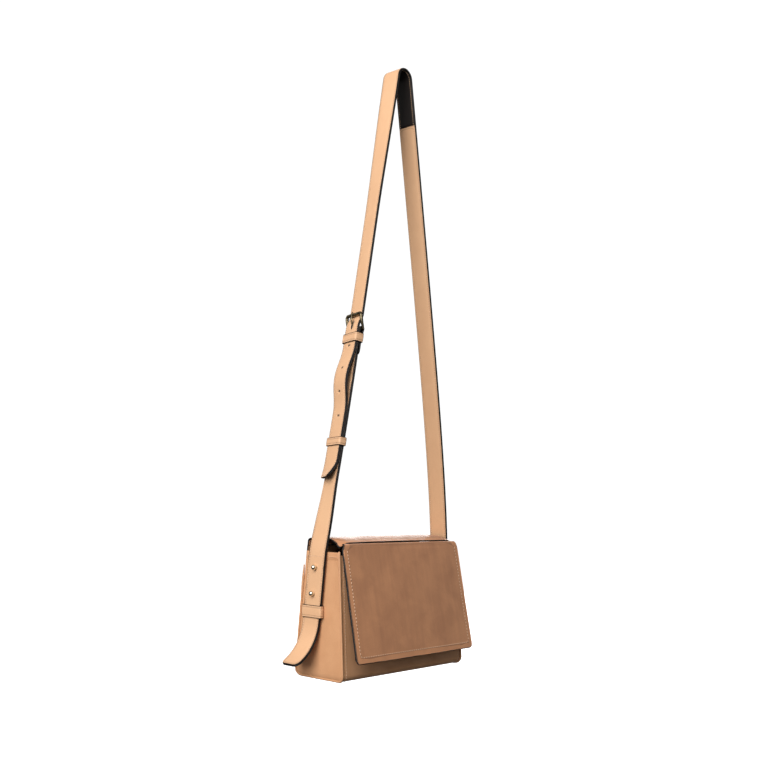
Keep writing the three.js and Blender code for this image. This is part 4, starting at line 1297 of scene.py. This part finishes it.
    def front(self, bag):
        thick = mm(bag.flap_leather)
        shares = np.array([-1, -0.993, -0.98, -0.962, -0.935, -0.9, -0.8, -0.66, -0.48, -0.25, 0])
        shares = np.concatenate([shares, -shares[-2::-1]])
        for name, offset, layer, inset, materials, slot, nodes in (
            ("flap_front_shell", thick / 2, thick, 0.0, painted("flap leather"), "flap_leather",
             ("flap_front_leather",)),
            ("flap_front_underside", thick + 0.65, 1.2, 1.0,
             [finish("lining cloth"), finish("edge paint"), finish("lining cloth")], "lining_cloth",
             ("flap_front_lining",)),
        ):
            path, normal = self.front_profile(offset)
            run = path_lengths(path)
            total = run[-1]
            places = self.front_places(total, inset)
            if inset:
                places = [p for p in places if p > 12]
            rows, normals = sample(run, path, places), sample(run, normal, places)
            grid, outward = [], []
            for (y, z), n, r in zip(rows, normals, places):
                half = self.front_half(r, total, bag, inset)
                row = []
                for share in shares:
                    x = share * half
                    push = self.bow(x, r / total) if r > 12 else 0.0
                    row.append([x, y + n[0] * push, z + n[1] * push])
                grid.append(row)
                outward.append([[0, n[0], n[1]]] * len(shares))
            piece = leather_sheet(name, grid, layer, materials, outward)
            if inset:
                on_body(piece, "flap_front", slot, *nodes)
            else:
                bent(piece, ("flap_top", "flap_front"), FOLD_BLEND, slot, *nodes)

    def sewing(self, bag):
        path, normal = self.front_profile(-0.02)
        run = path_lengths(path)
        total = run[-1]

        def at(x, r):
            (y, z), n = sample(run, path, r), sample(run, normal, r)
            push = self.bow(x, r / total) if r > 12 else 0.0
            return [x, y + n[0] * push, z + n[1] * push], [0, n[0], n[1]]

        corner = 4.0
        edge, foot = self.wide - FLAP_SEAM, total - FLAP_SEAM
        left = [(-edge, r) for r in np.linspace(15, foot - corner, 50)]
        left += [(-edge + corner - corner * math.cos(a), foot - corner + corner * math.sin(a))
                 for a in np.linspace(0, math.pi / 2, 6)[1:]]
        along = [(x, foot) for x in np.linspace(-edge + corner, edge - corner, 60)]
        rows = [tuple(zip(*[at(x, r) for x, r in left + along + [(-x, r) for x, r in reversed(left)]]))]
        on_body(sew("flap_front_stitching", rows, 1.35, 1.3), "flap_front", "flap_leather")
        back = []
        for z, width in ((BODY_HIGH[2] - 19, self.waist - 4), (BODY_HIGH[2] - 9, self.waist - 4)):
            y = half_depth(z, bag) + 3.35
            back.append(([[x, y, z] for x in np.linspace(-width, width, 30)], [[0, 1, 0]] * 30))
        on_body(sew("flap_back_stitching", back, 1.15), "pouch", "flap_leather")


# ---------------------------------------------------------------- straps


LAYER_GAP = 0.02
CUTTER_SIDES = 20
CUTTER_REACH = 6


def hole_cutter(s, offset, half_across, half_along):
    p, n, f, t = course(s)
    ring = []
    for k in range(CUTTER_SIDES):
        turn = 2 * math.pi * k / CUTTER_SIDES
        ring.append(f * half_across * math.cos(turn) + t * half_along * math.sin(turn))
    middle = p + n * offset
    points = [middle + r + n * reach for reach in (-CUTTER_REACH, CUTTER_REACH) for r in ring]
    faces = band(0, CUTTER_SIDES, CUTTER_SIDES)
    faces += [tuple(reversed(range(CUTTER_SIDES))), tuple(range(CUTTER_SIDES, 2 * CUTTER_SIDES))]
    return face_outwards(build_object("cutter", points, faces, [finish("edge paint")]))


class SLINGBAG_OT_long_strap(Operator):
    """The long strap from its hanging tail, over the top and down to the right gusset"""

    bl_idname = "slingbag.long_strap"
    bl_label = "Long strap"

    def execute(self, context):
        strap = context.scene.strap_sizes
        stop = COURSE + END_LENGTH
        places = join_places(
            TAIL_TIP + np.array([0, 0.8, 1.8, 3.2, 5, 7, 9]), span(TAIL_TIP + 12, CROSSING_TOP + 20, 4.0),
            span(CROSSING_TOP + 28, STRAND - 12, 9.0), span(STRAND - 8, STRAND + OVER + 8, 1.9),
            span(STRAND + OVER + 12, COURSE - 24, 9.0), span(COURSE - 20, COURSE + 20, 3.0),
            span(COURSE + 26, COURSE + END_STRAIGHT, 8.0), span(COURSE + END_STRAIGHT + 3, stop - 10, 3.5),
            stop - np.array([9, 7, 5, 3.2, 1.8, 0.8, 0]))
        face, backing = mm(strap.face), mm(strap.backing)
        joint = STRAND + OVER + BACKING_JOINT
        hole_places = [(HOLE_UP - 3.6, 1.8, 5.6)] + [
            (HOLE_UP - HOLE_PITCH * k, HOLE_RADIUS, HOLE_RADIUS) for k in range(1, HOLE_COUNT + 1)]

        def cutters():
            return [hole_cutter(s, long_offset(s) + STRAP_THICK / 2, a, b) for s, a, b in hole_places]

        outer = strap_layer("long_strap_face", places, long_offset, long_half, backing, face, "relief", long_course)
        across_hem(cut_holes(outer, cutters()), "strap_leather", "strap_face", "strap_end_face_right")
        under = [s for s in places if s < joint - 0.5] + [joint]
        backing -= LAYER_GAP
        main = strap_layer("long_strap_backing", under, long_offset, long_half, 0, backing, "under", long_course)
        on_body(cut_holes(main, cutters()), "strap", "strap_leather", "strap_backing_main")
        rest = [joint + 0.25] + [s for s in places if s > joint + 1]
        right = strap_layer("long_strap_backing_right", rest, long_offset, long_half, 0, backing, "under")
        across_hem(right, "strap_leather", "strap_backing_right", "strap_end_backing_right")

        inset = mm(strap.stitch_inset)
        slotted = [(HOLE_UP - 13, HOLE_UP + 15)]
        rows = strap_stitch_rows(
            TAIL_TIP + 5, stop - 6, long_offset, STRAP_THICK - 0.05, True, inset, (), long_course)
        rows += strap_stitch_rows(TAIL_TIP + 5, stop - 6, long_offset, 0.05, False, inset, slotted, long_course)
        across_hem(sew("long_strap_stitching", rows), "strap_leather")
        return {"FINISHED"}


class SLINGBAG_OT_buckle_strap(Operator):
    """The lower strap from the left gusset's tail up to its fold round the buckle's heel bar"""

    bl_idname = "slingbag.buckle_strap"
    bl_label = "Buckle strap"

    fold_back = 33.0
    heel_room = 1.8

    def execute(self, context):
        strap = context.scene.strap_sizes
        face, backing = mm(strap.face), mm(strap.backing)
        fold_end = HEEL_UP - self.fold_back
        tip = -END_LENGTH
        places = join_places(
            tip + np.array([0, 0.8, 1.8, 3.2, 5, 7, 9]), span(tip + 12, -END_STRAIGHT, 3.5),
            span(-END_STRAIGHT + 8, -26, 8.0), span(-20, 20, 3.0), span(26, HEEL_UP - 36, 8.0))
        self.face(places, face)
        under = places + [fold_end - 0.6]
        inner = strap_layer("buckle_strap_backing_leather", under, lower_offset, lower_half, 0,
                            backing - LAYER_GAP, "under")
        across_hem(inner, "strap_leather", "buckle_strap_backing", "strap_end_backing_left")
        inset = mm(strap.stitch_inset)
        rows = strap_stitch_rows(tip + 6, HEEL_UP - 5, lower_offset, STRAP_THICK - 0.05, True, inset)
        rows += strap_stitch_rows(tip + 6, fold_end - 3, lower_offset, 0.05, False, inset)
        p, n, f, _ = course(-HEM_SEAM)
        path = [p + n * (STRAP_THICK - 0.02) + f * a for a in np.linspace(-STRAP_HALF + 3, STRAP_HALF - 3, 6)]
        rows.append((path, [n] * 6))
        across_hem(sew("buckle_strap_stitching", rows), "strap_leather")
        return {"FINISHED"}

    def face(self, places, face):
        """The face leather goes on past the backing, round the bar and back down."""
        lift = STRAP_THICK - face
        grid, outward = [], []
        for s in places + span(HEEL_UP - 30, HEEL_UP - 2, 4.0) + [HEEL_UP]:
            p, n, f, _ = course(s)
            grid.append(strap_row(p + n * (lift + face / 2), f, lower_half(s)))
            outward.append([n] * len(STRAP_COLUMNS))
        p, n, f, t = course(HEEL_UP)
        radius = self.heel_room + face / 2
        heel_out = lift - self.heel_room
        for turn in np.linspace(0, math.pi, 11)[1:]:
            out = n * math.cos(turn) + t * math.sin(turn)
            grid.append(strap_row(p + n * heel_out + out * radius, f, STRAP_HALF))
            outward.append([out] * len(STRAP_COLUMNS))
        for down in [2.4, 4.8, 7.2, 9.6, 12.0, 16, 20, 24, 28, 30, 31.5, 32.3, self.fold_back]:
            p, n, f, t = course(HEEL_UP - down)
            close = float(smoothstep(down, 0, 12))
            out = heel_out - radius + (lift - face / 2 - 0.2 - heel_out + radius - face * 0.1) * close * 0.55
            half = STRAP_HALF * (0.8 + 0.2 * math.sqrt(max(0, 1 - max(0, (down - 27) / 6) ** 2)))
            grid.append(strap_row(p + n * out, f, half))
            outward.append([-n] * len(STRAP_COLUMNS))
        outer = leather_sheet("buckle_strap_face_leather", grid, face, painted("strap leather"), outward,
                              relief=grooves(len(grid)))
        slot = hole_cutter(HEEL_UP, 0, 2.3, 7.0)
        across_hem(cut_holes(outer, [slot]), "strap_leather", "buckle_strap_face", "strap_end_face_left")


LOOP_CORNER = 1.6
LOOP_LEVELS = np.array([-1, -0.9, -0.76, -0.62, -0.45, 0, 0.45, 0.62, 0.76, 0.9, 1])
LOOP_GROOVE, LOOP_CROWN = 0.15, 0.1


def corner_arc(cx, cy, radius, start):
    """Quarter round inside the corner at (cx, cy), from a heading in degrees."""
    sx, sy = (1 if start in (0, 270) else -1), (1 if start < 180 else -1)
    turns = [math.radians(start + 15 * k) for k in range(7)]
    return [(cx - sx * radius + radius * math.cos(t), cy - sy * radius + radius * math.sin(t)) for t in turns]


def loop_sheet(name, frame_at, low_out, high_out, height, thick, materials, spare):
    """A leather loop round the strap: frame_at is (place, out, across, up)."""
    place, out, across, up = frame_at
    half = STRAP_HALF + spare + thick / 2
    low, high = low_out - thick / 2, high_out + thick / 2
    outline = []
    for cx, cy, start in ((high, half, 0), (low, half, 90), (low, -half, 180), (high, -half, 270)):
        outline += corner_arc(cx, cy, LOOP_CORNER, start)
        if start in (90, 270):
            x, y = outline[-1]
            outline += [(x, y * (1 - 2 * share)) for share in np.linspace(0, 1, 8)[1:-1]]
    grid, outward = [], []
    for x, y in outline:
        grid.append([place + out * x + across * y + up * z for z in LOOP_LEVELS * height / 2])
        outward.append([unit(out * (x - (low + high) / 2) * 3 + across * y)] * len(LOOP_LEVELS))
    relief = np.zeros((len(outline), len(LOOP_LEVELS)))
    relief[:, [2, -3]] = -LOOP_GROOVE
    relief[:, 4:7] = LOOP_CROWN
    return leather_sheet(name, grid, thick, materials, outward, loop=True, relief=relief)


class SLINGBAG_OT_keepers(Operator):
    """Leather loops on the gussets, below the buckle and on the hanging tail"""

    bl_idname = "slingbag.keepers"
    bl_label = "Keeper loops"

    thick = 1.3

    def execute(self, context):
        for side, name in ((-1, "left"), (1, "right")):
            low, high = frame_box(f"gusset_keeper_{name}")
            z = (low[2] + high[2]) / 2
            out = np.array([float(side), 0, 0])
            place = np.array([side * HEM_X, setback_at(z - HEM_Z), z])
            frame_at = place, out, np.array([0, 1.0, 0]), np.array([0, 0, 1.0])
            self.loop(f"gusset_loop_{name}", frame_at, -0.6, STRAP_THICK + 0.4, high[2] - low[2],
                      "pouch", f"gusset_keeper_{name}", 0.9)
        outer = TAIL_OFFSET + STRAP_THICK + 0.6
        for name, up, low_out, height, body, node in (
            ("fixed_loop", HEEL_UP - 12, -2.3, 12.0, "strap", "buckle_keeper"),
            ("sliding_loop", 132.0, -0.6, 10.5, "slider", "sliding_keeper"),
        ):
            self.loop(name, course(up), low_out, outer, height, body, node)
        return {"FINISHED"}

    def loop(self, name, frame_at, low_out, high_out, height, body, node, spare=0.4):
        piece = loop_sheet(name, frame_at, low_out, high_out, height, self.thick, painted("strap leather"), spare)
        on_body(piece, body, "strap_leather", node)
        place, out, across, up = frame_at
        half = STRAP_HALF + spare
        rows = []
        for level in (-1, 1):
            z = level * (height / 2 - 1.5)
            path = [place + out * (high_out + self.thick - 0.12) + across * y + up * z
                    for y in np.linspace(-half + 1.5, half - 1.5, 6)]
            rows.append((path, [out] * 6))
        on_body(sew(f"{name}_stitching", rows, 0.95), body, "strap_leather")


# ---------------------------------------------------------------- metal


class SLINGBAG_OT_buckle(Operator):
    """Buckle frame and prong"""

    bl_idname = "slingbag.buckle"
    bl_label = "Buckle"

    wire = 1.5
    top_corner, heel_corner = 3.2, 1.6

    def execute(self, context):
        p, n, f, t = course(HEEL_UP)
        heel_out = STRAP_THICK - 1.6 - 1.8
        top_out = STRAP_THICK + 0.4 + self.wire * 1.5
        side = STRAP_HALF + 0.6 + self.wire

        def at(out, across, up):
            return p + n * out + f * across + t * up

        outline = []
        for across, up, radius, start in ((side, BUCKLE_LENGTH, self.top_corner, 0),
                                          (-side, BUCKLE_LENGTH, self.top_corner, 90),
                                          (-side, 0, self.heel_corner, 180), (side, 0, self.heel_corner, 270)):
            outline += corner_arc(across, up, radius, start)
        dense = []
        for a, b in zip(outline, outline[1:] + outline[:1]):
            count = max(1, round(math.dist(a, b) / 2.5))
            dense += [(a[0] + (b[0] - a[0]) * k / count, a[1] + (b[1] - a[1]) * k / count) for k in range(count)]
        path, radii = [], []
        for across, up in dense:
            share = float(np.clip(up / BUCKLE_LENGTH, 0, 1))
            arch = 0.8 * math.sin(math.pi * share)
            path.append(at(heel_out + (top_out - heel_out) * share + arch, across, up))
            swell = 1 + 0.12 * math.sin(math.pi * share) + 0.5 * share
            radii.append(self.wire * swell)
        frame_piece = tube("buckle_frame_cast", path, radii, [finish("antique brass")], sides=16, loop=True)
        on_body(frame_piece, "buckle", "antique_brass", "buckle_frame")
        self.prong(at, heel_out, top_out)
        return {"FINISHED"}

    def prong(self, at, heel_out, top_out):
        eye = 1.8 + 0.6
        rest = top_out + self.wire * 1.5 + 0.95
        points = [(heel_out + eye * math.cos(a), eye * math.sin(a)) for a in np.linspace(-1.2 * math.pi, 0.1, 14)]
        points += [(rest - 0.6, BUCKLE_LENGTH * 0.42), (rest, BUCKLE_LENGTH * 0.8), (rest, BUCKLE_LENGTH + 1.0),
                   (rest - 0.5, BUCKLE_LENGTH + 2.6)]
        path = evenly(smooth_path(points, 2), 0.7)
        run = path_lengths(path)
        taper = np.interp(run, [0, run[-1] * 0.35, run[-1] * 0.8, run[-1]], [0.75, 0.85, 0.85, 0.6])
        placed = [at(out, 0, up) for out, up in path]
        piece = tube("buckle_prong_cast", placed, taper * 1.15, [finish("antique brass")], sides=14)
        on_body(piece, "prong", "antique_brass", "buckle_prong")


class SLINGBAG_OT_studs(Operator):
    """Ball studs through the strap ends"""

    bl_idname = "slingbag.studs"
    bl_label = "Ball studs"

    ball = 3.2
    neck = 1.7
    flange = 3.6

    def execute(self, context):
        for side, name in ((-1, "left"), (1, "right")):
            for level in ("upper", "lower"):
                low, high = frame_box(f"stud_{level}_{name}")
                z = (low[2] + high[2]) / 2
                foot = low[0] if side > 0 else high[0]
                gap = 2.2
                middle = gap + STRAP_THICK + 0.2 + self.ball * 0.82
                turns = np.linspace(-0.32 * math.pi, math.pi / 2, 14)[:-1]
                profile = [(0, 0), (0, self.flange - 0.2), (0.15, self.flange), (gap - 0.6, self.flange),
                           (gap - 0.35, self.flange - 0.25), (gap - 0.3, self.neck + 0.1), (gap, self.neck),
                           (middle - self.ball * math.sin(0.32 * math.pi) - 0.1, self.neck)]
                profile += [(middle + self.ball * math.sin(t), self.ball * math.cos(t)) for t in turns]
                profile += [(middle + self.ball, 0)]
                piece = turned(f"ball_stud_{level}_{name}", profile, np.array([foot, (low[1] + high[1]) / 2, z]),
                               [side, 0, 0], [finish("pale brass")])
                on_body(piece, "pouch", "pale_brass", f"stud_{level}_{name}")
        return {"FINISHED"}


class SLINGBAG_OT_hidden_parts(Operator):
    """Finishes for the frame's own magnets, screws, plates and base board"""

    bl_idname = "slingbag.hidden_parts"
    bl_label = "Hidden parts"

    def execute(self, context):
        for name, node in frame["nodes"].items():
            if node.hide_render:
                continue
            kind = "fibre board" if name.startswith(("stud_plate", "base_board")) else "plated steel"
            node.data.materials.clear()
            node.data.materials.append(finish(kind))
        return {"FINISHED"}


# ---------------------------------------------------------------- stage


def area_light(name, place, target, power, size, colour=(1, 1, 1)):
    data = bpy.data.lights.new(name, "AREA")
    data.shape = "RECTANGLE"
    data.size, data.size_y = size
    data.energy = power
    data.color = colour
    lamp = bpy.data.objects.new(name, data)
    bpy.context.collection.objects.link(lamp)
    lamp.location = place
    lamp.visible_camera = False
    lamp.rotation_mode = "QUATERNION"
    lamp.rotation_quaternion = (Vector(target) - Vector(place)).to_track_quat("-Z", "Y")
    return lamp


class SLINGBAG_OT_stage(Operator):
    """Pale floor, soft lights, white surround and the camera"""

    bl_idname = "slingbag.stage"
    bl_label = "Stage"

    camera_place = (-0.9784, -0.8695, -0.5677)
    yaw, pitch, roll = math.radians(47.93), math.radians(6.6), math.radians(1.23)

    def execute(self, context):
        studio = context.scene.studio_settings
        self.floor(studio)
        self.surround(context, studio)
        centre = (0, 0, -0.6)
        area_light("side_key", (-2.35, -0.5, 0.5), centre, studio.key_power, (1.6, 2.2))
        area_light("front_fill", (-1.4, -1.05, 0.45), (-0.1, -0.05, -0.65), studio.fill_power, (0.9, 0.9))
        area_light("back_rim", (1.9, 1.75, -0.1), centre, studio.rim_power, (2.2, 1.0))
        self.camera(context, studio)
        return {"FINISHED"}

    def floor(self, studio):
        z = mm(CAD_BOX[0][2]) - mm(studio.floor_drop)
        half = 9000
        floor = build_object("studio_floor", [(-half, -half, z), (half, -half, z), (half, half, z), (-half, half, z)],
                             [(0, 1, 2, 3)], [])
        material, nodes, shader, coordinates = new_material("pale floor")
        speckle = nodes.noise(coordinates["Object"], 30.0, 4.0)
        seen = nodes.add("ShaderNodeLightPath").outputs["Is Camera Ray"]
        pale = nodes.mix(speckle, (0.97, 0.97, 0.97, 1), (0.94, 0.94, 0.94, 1))
        nodes.put(nodes.mix(seen, (0.04, 0.038, 0.036, 1), pale), shader.inputs["Base Color"])
        shader.inputs["Roughness"].default_value = 0.9
        shader.inputs["Emission Color"].default_value = (1, 1, 1, 1)
        nodes.put(nodes.math("MULTIPLY", seen, 0.78), shader.inputs["Emission Strength"])
        floor.data.materials.append(material)

    def surround(self, context, studio):
        world = bpy.data.worlds.new("white surround")
        context.scene.world = world
        world.use_nodes = True
        nodes = Nodes(world.node_tree)
        background = world.node_tree.nodes["Background"]
        seen = nodes.add("ShaderNodeLightPath").outputs["Is Camera Ray"]
        strength = nodes.math("MULTIPLY_ADD", seen, 1.05 - studio.sky, studio.sky)
        nodes.put(strength, background.inputs["Strength"])
        background.inputs["Color"].default_value = (1, 1, 1, 1)

    def camera(self, context, studio):
        data = bpy.data.cameras.new("studio_camera")
        data.lens = studio.lens
        data.sensor_width = 36
        data.clip_start, data.clip_end = 0.01, 50
        camera = bpy.data.objects.new("studio_camera", data)
        context.collection.objects.link(camera)
        yaw, pitch, roll = self.yaw, self.pitch, self.roll
        ahead = Vector((math.sin(yaw) * math.cos(pitch), math.cos(yaw) * math.cos(pitch), math.sin(pitch)))
        right = Vector((math.cos(yaw), -math.sin(yaw), 0))
        up = right.cross(ahead)
        right, up = right * math.cos(roll) + up * math.sin(roll), up * math.cos(roll) - right * math.sin(roll)
        turn = Matrix((right, up, -ahead)).transposed()
        camera.matrix_world = Matrix.Translation(self.camera_place) @ turn.to_4x4()
        context.scene.camera = camera
        context.scene.view_settings.view_transform = "Standard"


# ---------------------------------------------------------------- panel and registration

SETTINGS = (
    ("bag_sizes", BagSizes),
    ("strap_sizes", StrapSizes),
    ("bag_finishes", BagFinishes),
    ("studio_settings", StudioSettings),
)
PIECES = (
    SLINGBAG_OT_pouch,
    SLINGBAG_OT_lining,
    SLINGBAG_OT_flap,
    SLINGBAG_OT_long_strap,
    SLINGBAG_OT_buckle_strap,
    SLINGBAG_OT_keepers,
    SLINGBAG_OT_buckle,
    SLINGBAG_OT_studs,
    SLINGBAG_OT_hidden_parts,
    SLINGBAG_OT_stage,
)


class SLINGBAG_PT_panel(Panel):
    bl_idname = "SLINGBAG_PT_panel"
    bl_label = "Sling bag"
    bl_space_type = "VIEW_3D"
    bl_region_type = "UI"
    bl_category = "Sling Bag"

    def draw(self, context):
        for name, group in SETTINGS:
            box = self.layout.box()
            for key in group.__annotations__:
                box.prop(getattr(context.scene, name), key)
        for piece in PIECES:
            self.layout.operator(piece.bl_idname)


def register():
    for name, group in SETTINGS:
        bpy.utils.register_class(group)
        setattr(bpy.types.Scene, name, PointerProperty(type=group))
    for piece in PIECES:
        bpy.utils.register_class(piece)
    bpy.utils.register_class(SLINGBAG_PT_panel)


def unregister():
    bpy.utils.unregister_class(SLINGBAG_PT_panel)
    for piece in reversed(PIECES):
        bpy.utils.unregister_class(piece)
    for name, group in reversed(SETTINGS):
        delattr(bpy.types.Scene, name)
        bpy.utils.unregister_class(group)


def main():
    register()
    for piece in PIECES:
        group, call = piece.bl_idname.split(".")
        getattr(getattr(bpy.ops, group), call)()
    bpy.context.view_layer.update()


if __name__ == "__main__":
    main()
